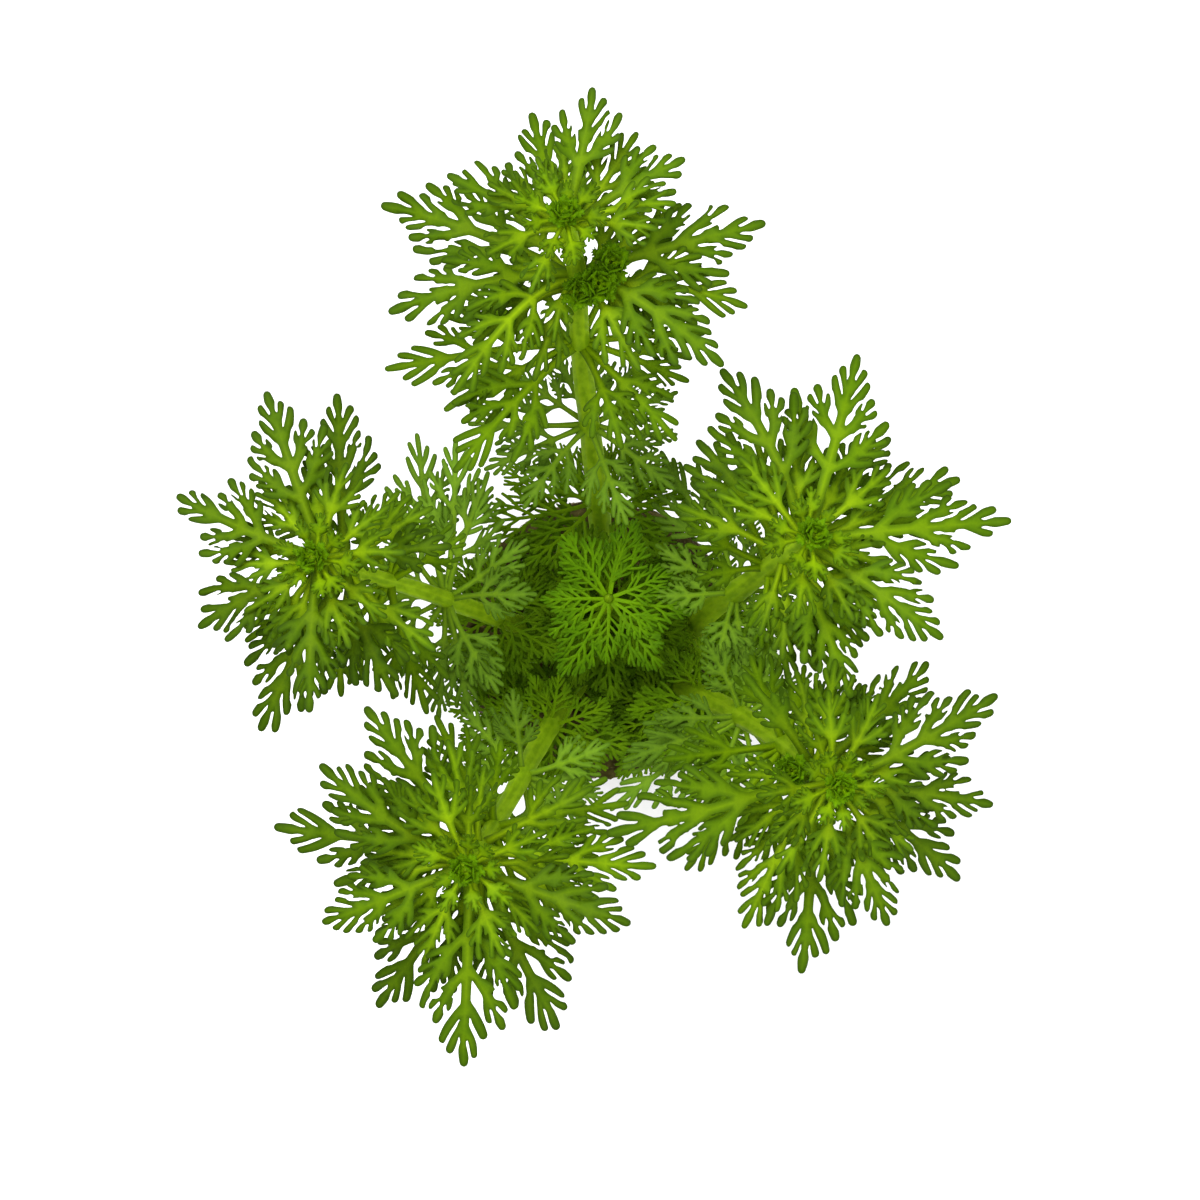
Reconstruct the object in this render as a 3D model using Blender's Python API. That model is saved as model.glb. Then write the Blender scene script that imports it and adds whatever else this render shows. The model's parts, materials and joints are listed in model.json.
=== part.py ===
"""A clump of water garden limnophila, standing in its plug of growing medium.

Blender's metres, +Z up. The origin is the centre of the plug's flat underside.
The tables are in millimetres and degrees. A bearing is counted counter-clockwise
from +X, as seen from above, and a reach is the level distance from the stem's
axis to a leaf's tip.
"""

import math
from collections import namedtuple

import bmesh
import bpy
from mathutils import Vector
from mathutils.geometry import delaunay_2d_cdt, interpolate_bezier

MM = 0.001
UP = Vector((0, 0, 1))

# Room between pieces that touch on the living plant
GAP = 0.35

# Plug of growing medium
PLUG_FOOT_RADIUS = 20.5
PLUG_TOP_RADIUS = 23.0
PLUG_RIM_HEIGHT = 25.0
PLUG_MOUND_HEIGHT = 27.5
PLUG_SIDES = 20
PLUG_LUMP = 0.7
PLUG_EDGE_LUMP = 0.2
PLUG_EDGE = 1.2
# Rings of its surface from the underside to the mound, as (radius, height, lump)
PLUG_RINGS = (
    (PLUG_FOOT_RADIUS - PLUG_EDGE, 0, 0),
    (PLUG_FOOT_RADIUS, PLUG_EDGE * 1.25, PLUG_EDGE_LUMP),
    ((PLUG_FOOT_RADIUS + PLUG_TOP_RADIUS) / 2, PLUG_RIM_HEIGHT * 0.45, PLUG_LUMP),
    (PLUG_TOP_RADIUS, PLUG_RIM_HEIGHT * 0.88, PLUG_LUMP),
    (PLUG_TOP_RADIUS - 2.0, PLUG_RIM_HEIGHT + 0.6, PLUG_LUMP),
    (PLUG_TOP_RADIUS * 0.55, PLUG_MOUND_HEIGHT - 0.3, PLUG_LUMP),
)
# Waves round each ring, as (number, turn with height, share of the lump)
PLUG_WAVES = ((3, 1.0, 1.0), (7, 2.1, 0.6))
MOUND_WAVES = 5
MOUND_LUMP_SHARE = 0.8

# Stems
STEM_SIDES = 8
STEM_FOOT_RADIUS = 1.8
STEM_TIP_RADIUS = 1.0
STEM_CREASE = math.radians(50)
RINGS_PER_SPAN = 1
# How thick the tip of an upright stem is, as a share of its foot
UPRIGHT_TAPER = 0.8

# Leaves
LEAF_THICKNESS = 0.8
LEAF_START_LIFT = 0.45
LEAF_ARCH = 0.38
# A leaf's length along its arch, as a share of the straight line from foot to tip
LEAF_SLACK = 1.02
CROWN_TILT = 0.35
CROWN_RISE = (4.5, 2.5)
LEVEL_STEP = 1.2

# Whorls made as one ring of leaves
RING_DISC_RADIUS = 3.3
RING_STALK = 1.2
FUSED_DISC_RADIUS = 1.0
RING_RISE = 0.25
RING_DROOP = 0.008
# How much shorter every other leaf of an even ring is
SHORTER_BY = 0.12
TUFT_LEAVES = 4
TUFT_REACH = 6.5
TUFT_BELOW_TIP = 1.2
TUFT_RISE = 0.1
TUFT_CUP = 0.045

# One side of a leaf from its foot to its tip, as (along, across) shares of its length:
# leaf stalk, lower pinna with a side lobe, upper pinna, end lobe
CROWN_LEAF = (
    (0.00, 0.020), (0.40, 0.028),
    (0.55, 0.185), (0.60, 0.140), (0.70, 0.225), (0.61, 0.045),
    (0.78, 0.165), (0.88, 0.165), (0.80, 0.042),
    (0.93, 0.085), (1.00, 0.000),
)
# The same for the leaves of a ring, from the edge of its disc
RING_LEAF = ((0.40, 0.035), (0.66, 0.190), (0.62, 0.045), (0.85, 0.140), (1.00, 0.000))
FINE_LEAF = ((0.55, 0.045), (0.80, 0.150), (1.00, 0.000))
TUFT_LOBE = ((0.70, 0.170), (1.00, 0.000))

# route: points on the stem's axis, from inside the plug to the growing tip.
# heights: the whorls' heights on the stem, from the top one down.
# upper, second: single leaves of the two top whorls, as (bearing, reach).
# third, fourth, lowest: rings of leaves, as (bearing, reach).
Shoot = namedtuple("Shoot", "route heights upper second third fourth lowest")

SHOOTS = {
    "north": Shoot(
        route=(
            (0.9, 6.2, 21), (0.5, 19.0, 47), (-1.0, 32.5, 68), (-2.5, 44.5, 86),
            (-2.8, 53.4, 97), (-4.2, 59.6, 105), (-4.5, 61.0, 109),
        ),
        heights=(105, 97, 86, 69, 52),
        upper=((32, 18.5), (79, 19.0), (155, 18.0)),
        second=((14, 26.5), (157, 29.0), (192, 26.0), (105, 25.0), (326, 23.5)),
        third=((4, 18), (62, 16), (128, 16), (190, 28), (228, 26), (314, 20)),
        fourth=((20, 14), (145, 14), (196, 15), (226, 16), (322, 16)),
        lowest=((0, 14), (40, 12), (140, 12), (222, 15), (320, 12)),
    ),
    "east": Shoot(
        route=(
            (14.4, -9.5, 22), (15.0, -1.5, 38), (16.6, 3.7, 50), (21.6, 8.0, 66),
            (25.8, 11.4, 80), (27.8, 13.4, 90), (30.1, 15.1, 98), (31.0, 15.8, 102),
        ),
        heights=(98, 90, 80, 65, 48),
        upper=((6, 28.5), (74, 26.5), (114, 26.5), (323, 22.5)),
        second=((48, 22.5), (24, 27.0), (128, 20.0), (293, 21.5)),
        third=((20, 15), (114, 20), (186, 12), (262, 12), (300, 17), (330, 18)),
        fourth=((30, 13), (116, 22), (184, 12), (254, 11), (298, 14)),
        lowest=((20, 12), (110, 11), (195, 6), (330, 11)),
    ),
    "south_east": Shoot(
        route=(
            (7.8, -3.6, 21), (14.8, -7.8, 45), (21.2, -10.7, 64), (27.8, -14.9, 83),
            (31.6, -18.3, 94), (33.9, -19.6, 101), (34.7, -20.1, 105),
        ),
        heights=(101, 94, 83, 67, 50),
        upper=((352, 22.5), (28, 25.0), (292, 21.5)),
        second=((44, 21.5), (130, 16.5), (197, 29.5), (268, 28.5), (324, 25.5)),
        third=((30, 15), (112, 14), (186, 18), (231, 23), (290, 16), (330, 15)),
        fourth=((10, 13), (120, 11), (180, 13), (214, 20), (310, 14)),
        lowest=((0, 12), (190, 12), (240, 13), (300, 12)),
    ),
    "south_west": Shoot(
        route=(
            (-0.4, -2.6, 21), (-5.8, -11.0, 45), (-9.6, -17.0, 62), (-13.0, -23.3, 78),
            (-15.5, -27.2, 89), (-17.2, -29.4, 96), (-18.3, -31.2, 103), (-18.5, -31.7, 107),
        ),
        heights=(103, 96, 88, 70, 52),
        upper=((147, 24.0), (202, 21.5), (268, 28.0), (342, 23.0)),
        second=((128, 24.5), (174, 28.0), (238, 27.5), (294, 27.5)),
        third=((12, 20), (84, 13), (116, 18), (190, 16), (236, 16), (290, 16)),
        fourth=((96, 13), (130, 14), (195, 13), (305, 14), (345, 13)),
        lowest=((20, 10), (110, 9), (210, 12), (300, 12), (345, 13)),
    ),
    "west": Shoot(
        route=(
            (-4.2, -0.9, 21), (-12.3, 2.5, 42), (-19.6, 5.3, 60), (-26.5, 8.0, 76),
            (-31.8, 9.7, 86), (-36.4, 11.1, 94), (-39.5, 12.3, 101), (-40.4, 12.6, 105),
        ),
        heights=(101, 94, 84, 68, 51),
        upper=((109, 24.5), (157, 21.5), (207, 19.5), (268, 20.5)),
        second=((13, 14.5), (92, 24.0), (241, 25.5), (293, 19.0)),
        third=((30, 13), (80, 13), (150, 14), (210, 15), (250, 16), (287, 20)),
        fourth=((87, 24), (150, 13), (205, 13), (280, 15), (35, 15)),
        lowest=((20, 12), (70, 14), (150, 12), (240, 12), (330, 12)),
    ),
}

CENTRE_ROUTE = ((1.0, 1.0, 21), (1.0, 2.0, 29), (1.4, 4.4, 45), (1.9, 7.0, 63))
CENTRE_HEIGHT = 61
CENTRE_REACH = 13.0
CENTRE_LEAVES = 10
# The two whorls below, as (height, leaves)
CENTRE_LOWER = (
    (50, ((40, 15), (140, 14), (215, 14), (285, 14))),
    (39, ((37, 14), (140, 13), (215, 12), (282, 13))),
)
CENTRE_STEM_RADIUS = 1.1
CENTRE_DISC_RADIUS = 2.6

# Side shoots: the route of the stem and the leaves of the whorl, as (bearing, reach)
SideShoot = namedtuple("SideShoot", "route leaves")
SIDE_SHOOTS = (
    SideShoot(
        ((4.5, -9.5, 21), (7.0, -10.5, 32), (12.2, -12.0, 44)),
        ((125, 9), (160, 12), (195, 10), (230, 13), (265, 10), (300, 12), (335, 10)),
    ),
    SideShoot(
        ((-6.5, -8.0, 21), (-9.0, -9.5, 32), (-12.6, -13.0, 46)),
        ((60, 8), (95, 11), (130, 10), (165, 12), (200, 10), (238, 12), (275, 10)),
    ),
)
SIDE_STEM_RADIUS = 0.9
SIDE_DISC_RADIUS = 1.8
SIDE_RING_BELOW_TIP = 1.0

COLOURS = {
    "leaf_green": ((0.10, 0.19, 0.012), 0.42),
    "lower_leaf_green": ((0.09, 0.17, 0.03), 0.48),
    "stem_green": ((0.19, 0.33, 0.02), 0.38),
    "growing_medium": ((0.055, 0.045, 0.02), 0.95),
}


def clear_scene():
    for old in list(bpy.data.objects):
        bpy.data.objects.remove(old, do_unlink=True)


def make_material(name):
    colour, roughness = COLOURS[name]
    material = bpy.data.materials.new(name)
    material.use_nodes = True
    shader = material.node_tree.nodes["Principled BSDF"]
    shader.inputs["Base Color"].default_value = (*colour, 1)
    shader.inputs["Roughness"].default_value = roughness
    shader.inputs["Metallic"].default_value = 0
    material.diffuse_color = (*colour, 1)
    return material


def level(bearing, length=1.0):
    angle = math.radians(bearing)
    return Vector((math.cos(angle) * length, math.sin(angle) * length, 0))


def add_object(name, points, faces, material, origin):
    """One object whose mesh is measured from its own origin. Points are in millimetres."""
    mesh = bpy.data.meshes.new(name)
    mesh.from_pydata([(point - origin) * MM for point in points], [], faces)
    mesh.materials.append(material)
    made = bpy.data.objects.new(name, mesh)
    made.location = origin * MM
    bpy.context.scene.collection.objects.link(made)
    return made


def as_helper(made):
    made.hide_render = True
    made.display_type = "WIRE"
    return made


def add_boolean(made, operation, helper):
    modifier = made.modifiers.new(operation.title() + "_" + helper.name, "BOOLEAN")
    modifier.operation = operation
    modifier.solver = "EXACT"
    modifier.object = as_helper(helper)


def smooth_route(route):
    """Points of a smooth curve through the route's own points."""
    knots = [Vector(point) for point in route]
    slopes = [knots[min(i + 1, len(knots) - 1)] - knots[max(i - 1, 0)] for i in range(len(knots))]
    line = [knots[0]]
    for i in range(len(knots) - 1):
        start, end = knots[i], knots[i + 1]
        share = (end - start).length / 3
        handles = start + slopes[i].normalized() * share, end - slopes[i + 1].normalized() * share
        line += interpolate_bezier(start, *handles, end, RINGS_PER_SPAN + 1)[1:]
    return line


def at_height(line, height):
    """The point and the direction of a stem's axis where it passes a height."""
    for start, end in zip(line, line[1:]):
        if start.z <= height <= end.z:
            share = (height - start.z) / (end.z - start.z)
            return start.lerp(end, share), (end - start).normalized()
    return line[-1], (line[-1] - line[-2]).normalized()


def stem_radius(line, height, foot, tip):
    share = (height - line[0].z) / (line[-1].z - line[0].z)
    return foot + (tip - foot) * min(max(share, 0), 1)


def tube(line, foot, tip):
    """Points and faces of a closed tapering tube along a line."""
    points, faces = [], []
    for i, centre in enumerate(line):
        along = (line[min(i + 1, len(line) - 1)] - line[max(i - 1, 0)]).normalized()
        across = along.cross(Vector((1, 0, 0))).normalized()
        beside = along.cross(across)
        radius = stem_radius(line, centre.z, foot, tip)
        for k in range(STEM_SIDES):
            angle = math.tau * k / STEM_SIDES
            points.append(centre + (across * math.cos(angle) + beside * math.sin(angle)) * radius)
    for i in range(len(line) - 1):
        low, high = i * STEM_SIDES, (i + 1) * STEM_SIDES
        for k in range(STEM_SIDES):
            after = (k + 1) % STEM_SIDES
            faces.append((low + k, low + after, high + after, high + k))
    faces.append(tuple(reversed(range(STEM_SIDES))))
    faces.append(tuple(range(len(points) - STEM_SIDES, len(points))))
    return points, faces


def both_sides(right):
    """A leaf's closed outline from its right side, which ends in the one point of its tip."""
    return right + [Vector((point.x, -point.y)) for point in reversed(right[:-1])]


def leaf_outline(half, length):
    """The closed outline of one leaf lying along +X."""
    return both_sides([Vector((along, -across)) * length for along, across in half])


def slab(outline, place, thickness):
    """A thin closed solid over a flat outline, laid in space by place(x, y, height)."""
    ring = [list(range(len(outline)))]
    flat, _, triangles = delaunay_2d_cdt(outline, [], ring, 1, 1e-4)[:3]
    triangles = [tuple(t) for t in triangles]
    sides = {(t[i], t[(i + 1) % 3]) for t in triangles for i in range(3)}
    count = len(flat)
    points = [place(p.x, p.y, thickness / 2) for p in flat]
    points += [place(p.x, p.y, -thickness / 2) for p in flat]
    faces = list(triangles)
    faces += [tuple(count + k for k in reversed(t)) for t in triangles]
    faces += [(a, count + a, count + b, b) for a, b in sorted(sides) if (b, a) not in sides]
    return points, faces


def leaf_placer(foot, start, tip, length):
    """Lays a flat leaf along an arched midrib from its foot to its tip."""
    middle = foot + start * length * LEAF_ARCH

    def place(along, across, height):
        share = along / length
        centre = foot * (1 - share) ** 2 + middle * 2 * share * (1 - share) + tip * share**2
        course = ((middle - foot) * (1 - share) + (tip - middle) * share).normalized()
        side = UP.cross(course).normalized()
        return centre + side * across + course.cross(side) * height

    return place


def crown_leaf(name, line, lean, height, rise, bearing, reach, material):
    """One leaf of a crown, from just clear of its stem to its tip."""
    node, axis = at_height(line, height)
    outward = level(bearing)
    radial = (outward - axis * outward.dot(axis)).normalized()
    start = (radial + axis * LEAF_START_LIFT).normalized()
    clear = stem_radius(line, height, STEM_FOOT_RADIUS, STEM_TIP_RADIUS) + GAP + LEAF_THICKNESS / 4
    foot = node + radial * clear
    offset = level(bearing, reach)
    tip = node + offset + UP * (rise - CROWN_TILT * offset.dot(lean))
    length = (tip - foot).length * LEAF_SLACK
    place = leaf_placer(foot, start, tip, length)
    points, faces = slab(leaf_outline(CROWN_LEAF, length), place, LEAF_THICKNESS)
    return add_object(name, points, faces, material, foot)


def ring_placer(node, lean, rise, droop):
    """Lays a flat ring of leaves round a stem, tilted outwards with the shoot."""

    def place(x, y, height):
        out = math.hypot(x, y)
        lift = rise * out - droop * out**2 - CROWN_TILT * (x * lean.x + y * lean.y)
        return node + Vector((x, y, lift + height))

    return place


def ring_outline(leaves, half, disc, stalk):
    """The closed outline of a disc and of the leaves that grow from its edge."""
    outline = []
    for bearing, reach in sorted(leaves):
        ahead = level(bearing).to_2d()
        side = Vector((-ahead.y, ahead.x))
        foot = Vector((math.sqrt(disc**2 - (stalk / 2) ** 2), -stalk / 2))
        right = [foot] + [Vector((along, -across)) * reach for along, across in half]
        outline += [ahead * p.x + side * p.y for p in both_sides(right)]
    return outline


def evenly(count, reach):
    """Bearings and reaches of leaves spread evenly, every other one a little shorter."""
    return [(360 * k / count, reach * (1 - SHORTER_BY * (k % 2))) for k in range(count)]


def ring_solid(name, line, height, leaves, half, material, lean, disc, rise=RING_RISE, droop=RING_DROOP):
    """A ring of leaves joined at a disc round a stem, as one solid."""
    node, _ = at_height(line, height)
    place = ring_placer(node, lean, rise, droop)
    outline = ring_outline(leaves, half, disc, min(RING_STALK, disc))
    points, faces = slab(outline, place, LEAF_THICKNESS)
    return add_object(name, points, faces, material, node)


def add_stem(name, line, foot, tip, material):
    """A round tapering stem, shaded smooth."""
    points, faces = tube(line, foot, tip)
    made = add_object(name, points, faces, material, line[0])
    made.data.shade_smooth()
    made.data.set_sharp_from_angle(angle=STEM_CREASE)
    return made


def clearance(stem_name, line, foot, tip, material):
    """A tube a little wider than a stem, which cuts the room that the stem passes through."""
    points, faces = tube(line, foot + GAP, tip + GAP)
    return as_helper(add_object(stem_name + "_clearance", points, faces, material, line[0]))


def build_shoot(side, shoot, materials):
    """One outer shoot: stem, crown leaves and lower whorls. Returns its pieces and its clearance."""
    line = smooth_route(shoot.route)
    lean = Vector((line[-1].x - line[0].x, line[-1].y - line[0].y, 0)).normalized()
    green, lower = materials["leaf_green"], materials["lower_leaf_green"]
    ends = STEM_FOOT_RADIUS, STEM_TIP_RADIUS
    stem = add_stem(side + "_stem", line, *ends, materials["stem_green"])
    tuft = ring_solid(
        side + "_tuft", line, line[-1].z - TUFT_BELOW_TIP, evenly(TUFT_LEAVES, TUFT_REACH), TUFT_LOBE,
        green, lean, FUSED_DISC_RADIUS, TUFT_RISE, -TUFT_CUP,
    )
    lowest = ring_solid(
        side + "_lowest", line, shoot.heights[4], shoot.lowest, FINE_LEAF, lower, lean, FUSED_DISC_RADIUS,
    )
    for part in (tuft, lowest):
        add_boolean(stem, "UNION", part)
    pieces = [stem]
    numbered = [(0, leaf) for leaf in shoot.upper] + [(1, leaf) for leaf in shoot.second]
    for number, (whorl, (bearing, reach)) in enumerate(numbered, 1):
        step = LEVEL_STEP * (number % 2)
        pieces.append(crown_leaf(
            f"{side}_leaf_{number}", line, lean, shoot.heights[whorl] - step,
            CROWN_RISE[whorl] - step, bearing, reach, green,
        ))
    room = clearance(side, line, *ends, materials["stem_green"])
    for number, leaves, half in ((3, shoot.third, RING_LEAF), (4, shoot.fourth, FINE_LEAF)):
        ring = ring_solid(
            f"{side}_whorl_{number}", line, shoot.heights[number - 1], leaves, half, lower,
            lean, RING_DISC_RADIUS,
        )
        add_boolean(ring, "DIFFERENCE", room)
        pieces.append(ring)
    return pieces, room


def build_centre(materials):
    """The short upright shoot with its whorls of fine leaves."""
    line = smooth_route(CENTRE_ROUTE)
    upright = Vector((0, 0, 0))
    lower = materials["lower_leaf_green"]
    ends = CENTRE_STEM_RADIUS, CENTRE_STEM_RADIUS * UPRIGHT_TAPER
    stem = add_stem("centre_stem", line, *ends, materials["stem_green"])
    for number, (height, leaves) in enumerate(CENTRE_LOWER, 2):
        ring = ring_solid(
            f"centre_low_{number}", line, height, leaves, FINE_LEAF, lower, upright, FUSED_DISC_RADIUS,
        )
        add_boolean(stem, "UNION", ring)
    room = clearance("centre", line, *ends, materials["stem_green"])
    whorl = ring_solid(
        "centre_whorl", line, CENTRE_HEIGHT, evenly(CENTRE_LEAVES, CENTRE_REACH), FINE_LEAF, lower,
        upright, CENTRE_DISC_RADIUS,
    )
    add_boolean(whorl, "DIFFERENCE", room)
    return [stem, whorl], room


def build_side_shoot(number, shoot, materials):
    """A young side shoot: a short stem grown together with its one whorl."""
    line = smooth_route(shoot.route)
    upright = Vector((0, 0, 0))
    ends = SIDE_STEM_RADIUS, SIDE_STEM_RADIUS * UPRIGHT_TAPER
    name = f"side_shoot_{number}"
    stem = add_stem(name, line, *ends, materials["lower_leaf_green"])
    ring = ring_solid(
        name + "_ring", line, line[-1].z - SIDE_RING_BELOW_TIP, shoot.leaves, FINE_LEAF,
        materials["lower_leaf_green"], upright, SIDE_DISC_RADIUS,
    )
    add_boolean(stem, "UNION", ring)
    room = clearance(name, line, *ends, materials["stem_green"])
    return [stem], room


def plug_ring(radius, height, lump):
    """One ring of the plug's surface, pushed in and out a little as packed fibre is."""
    ring = []
    for k in range(PLUG_SIDES):
        angle = math.tau * k / PLUG_SIDES
        push = sum(size * math.sin(waves * angle + turn * height) for waves, turn, size in PLUG_WAVES)
        out = radius + lump * push
        rise = 0
        if height > PLUG_RIM_HEIGHT:
            rise = lump * MOUND_LUMP_SHARE * math.sin(MOUND_WAVES * angle + radius)
        ring.append(Vector((out * math.cos(angle), out * math.sin(angle), height + rise)))
    return ring


def build_plug(rooms, material):
    """The plug: a flat underside, tapering lumpy sides and a low mound, with room for the stems."""
    rings = [plug_ring(*ring) for ring in PLUG_RINGS]
    plug = bmesh.new()
    loops = [[plug.verts.new(point * MM) for point in ring] for ring in rings]
    for low, high in zip(loops, loops[1:]):
        for k in range(PLUG_SIDES):
            after = (k + 1) % PLUG_SIDES
            plug.faces.new((low[k], low[after], high[after], high[k]))
    plug.faces.new(reversed(loops[0]))
    crest = plug.verts.new((0, 0, PLUG_MOUND_HEIGHT * MM))
    for k in range(PLUG_SIDES):
        plug.faces.new((loops[-1][k], loops[-1][(k + 1) % PLUG_SIDES], crest))
    bmesh.ops.triangulate(plug, faces=[f for f in plug.faces if len(f.verts) == 4])
    mesh = bpy.data.meshes.new("soil_plug")
    plug.to_mesh(mesh)
    plug.free()
    mesh.materials.append(material)
    made = bpy.data.objects.new("soil_plug", mesh)
    bpy.context.scene.collection.objects.link(made)
    for room in rooms:
        add_boolean(made, "DIFFERENCE", room)
    return made


def main():
    clear_scene()
    materials = {name: make_material(name) for name in COLOURS}
    pieces, rooms = [], []
    for side, shoot in SHOOTS.items():
        made, room = build_shoot(side, shoot, materials)
        pieces += made
        rooms.append(room)
    made, room = build_centre(materials)
    pieces += made
    rooms.append(room)
    for number, shoot in enumerate(SIDE_SHOOTS, 1):
        made, room = build_side_shoot(number, shoot, materials)
        pieces += made
        rooms.append(room)
    pieces.append(build_plug(rooms, materials["growing_medium"]))
    plant = bpy.data.objects.new("limnophila", None)
    bpy.context.scene.collection.objects.link(plant)
    for piece in pieces:
        piece.parent = plant


main()
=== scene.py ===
"""Looks for a clump of limnophila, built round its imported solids.

The tables are in millimetres and degrees, in the frame of the solids: +Z up and the
origin at the centre of the plug's flat underside. A bearing is counted
counter-clockwise from +X, as seen from above.
"""

import json
import math
import random
from collections import namedtuple

import bpy
import numpy as np
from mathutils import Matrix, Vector
from mathutils.geometry import delaunay_2d_cdt, interpolate_bezier

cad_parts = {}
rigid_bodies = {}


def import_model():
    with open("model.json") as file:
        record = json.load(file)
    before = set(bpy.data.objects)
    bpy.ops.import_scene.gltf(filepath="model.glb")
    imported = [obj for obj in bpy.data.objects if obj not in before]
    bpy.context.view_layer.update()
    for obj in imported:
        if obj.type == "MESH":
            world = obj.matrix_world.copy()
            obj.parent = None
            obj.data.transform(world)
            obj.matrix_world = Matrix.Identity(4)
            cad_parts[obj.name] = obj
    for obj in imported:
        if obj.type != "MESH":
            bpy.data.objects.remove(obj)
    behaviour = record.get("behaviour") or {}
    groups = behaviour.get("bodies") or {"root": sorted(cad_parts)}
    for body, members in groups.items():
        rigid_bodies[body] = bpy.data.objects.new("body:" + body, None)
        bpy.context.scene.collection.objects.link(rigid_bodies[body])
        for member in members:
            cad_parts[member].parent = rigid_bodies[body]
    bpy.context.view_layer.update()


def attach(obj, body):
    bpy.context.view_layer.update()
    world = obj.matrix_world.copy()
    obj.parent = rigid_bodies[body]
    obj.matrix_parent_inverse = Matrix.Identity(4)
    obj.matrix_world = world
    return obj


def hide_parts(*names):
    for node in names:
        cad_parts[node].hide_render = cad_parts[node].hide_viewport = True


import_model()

MM = 0.001
UP = Vector((0, 0, 1))
NO_LEAN = Vector((0, 0, 0))

# The camera looks straight down on the crowns
CAMERA_AT = (0.5, 6.5, 600.0)
CAMERA_LENS = 104.9
CAMERA_SENSOR = 36.0

# How a leaf leaves its stem and how a crown leans, as in the solids
LEAF_START_LIFT = 0.45
LEAF_ARCH = 0.38
CROWN_TILT = 0.35
CROWN_RISE = (4.5, 2.5)
LEVEL_STEP = 1.2
RING_RISE = 0.25
RING_DROOP = 0.008
STEM_FOOT_RADIUS = 1.8
STEM_TIP_RADIUS = 1.0

# How much longer a leaf's midrib is than the line from its foot to its tip
MIDRIB_SLACK = 1.02

# route: points on the stem's axis, from inside the plug to the growing tip.
# heights: the whorls' heights on the stem, from the top one down.
# stout: the stem's thickness at its tip, as a share of its solid's.
# pale: how much painted light falls on the stem's upper side, 1 for a usual one.
# leaf_tone: how much lighter or darker than usual the shoot's single leaves are.
# tufts: side buds at the second whorl, as (bearing, size, distance out, rise).
# upper, second: single leaves of the two top whorls, as (bearing, reach, spread of the pinnae).
# inner: more leaves of those two whorls, as (whorl, bearing, reach).
# third, fourth, lowest: the whorls below, as (bearing, reach).
Shoot = namedtuple(
    "Shoot",
    "route heights stout pale leaf_tone tufts upper second inner third fourth lowest",
)

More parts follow.
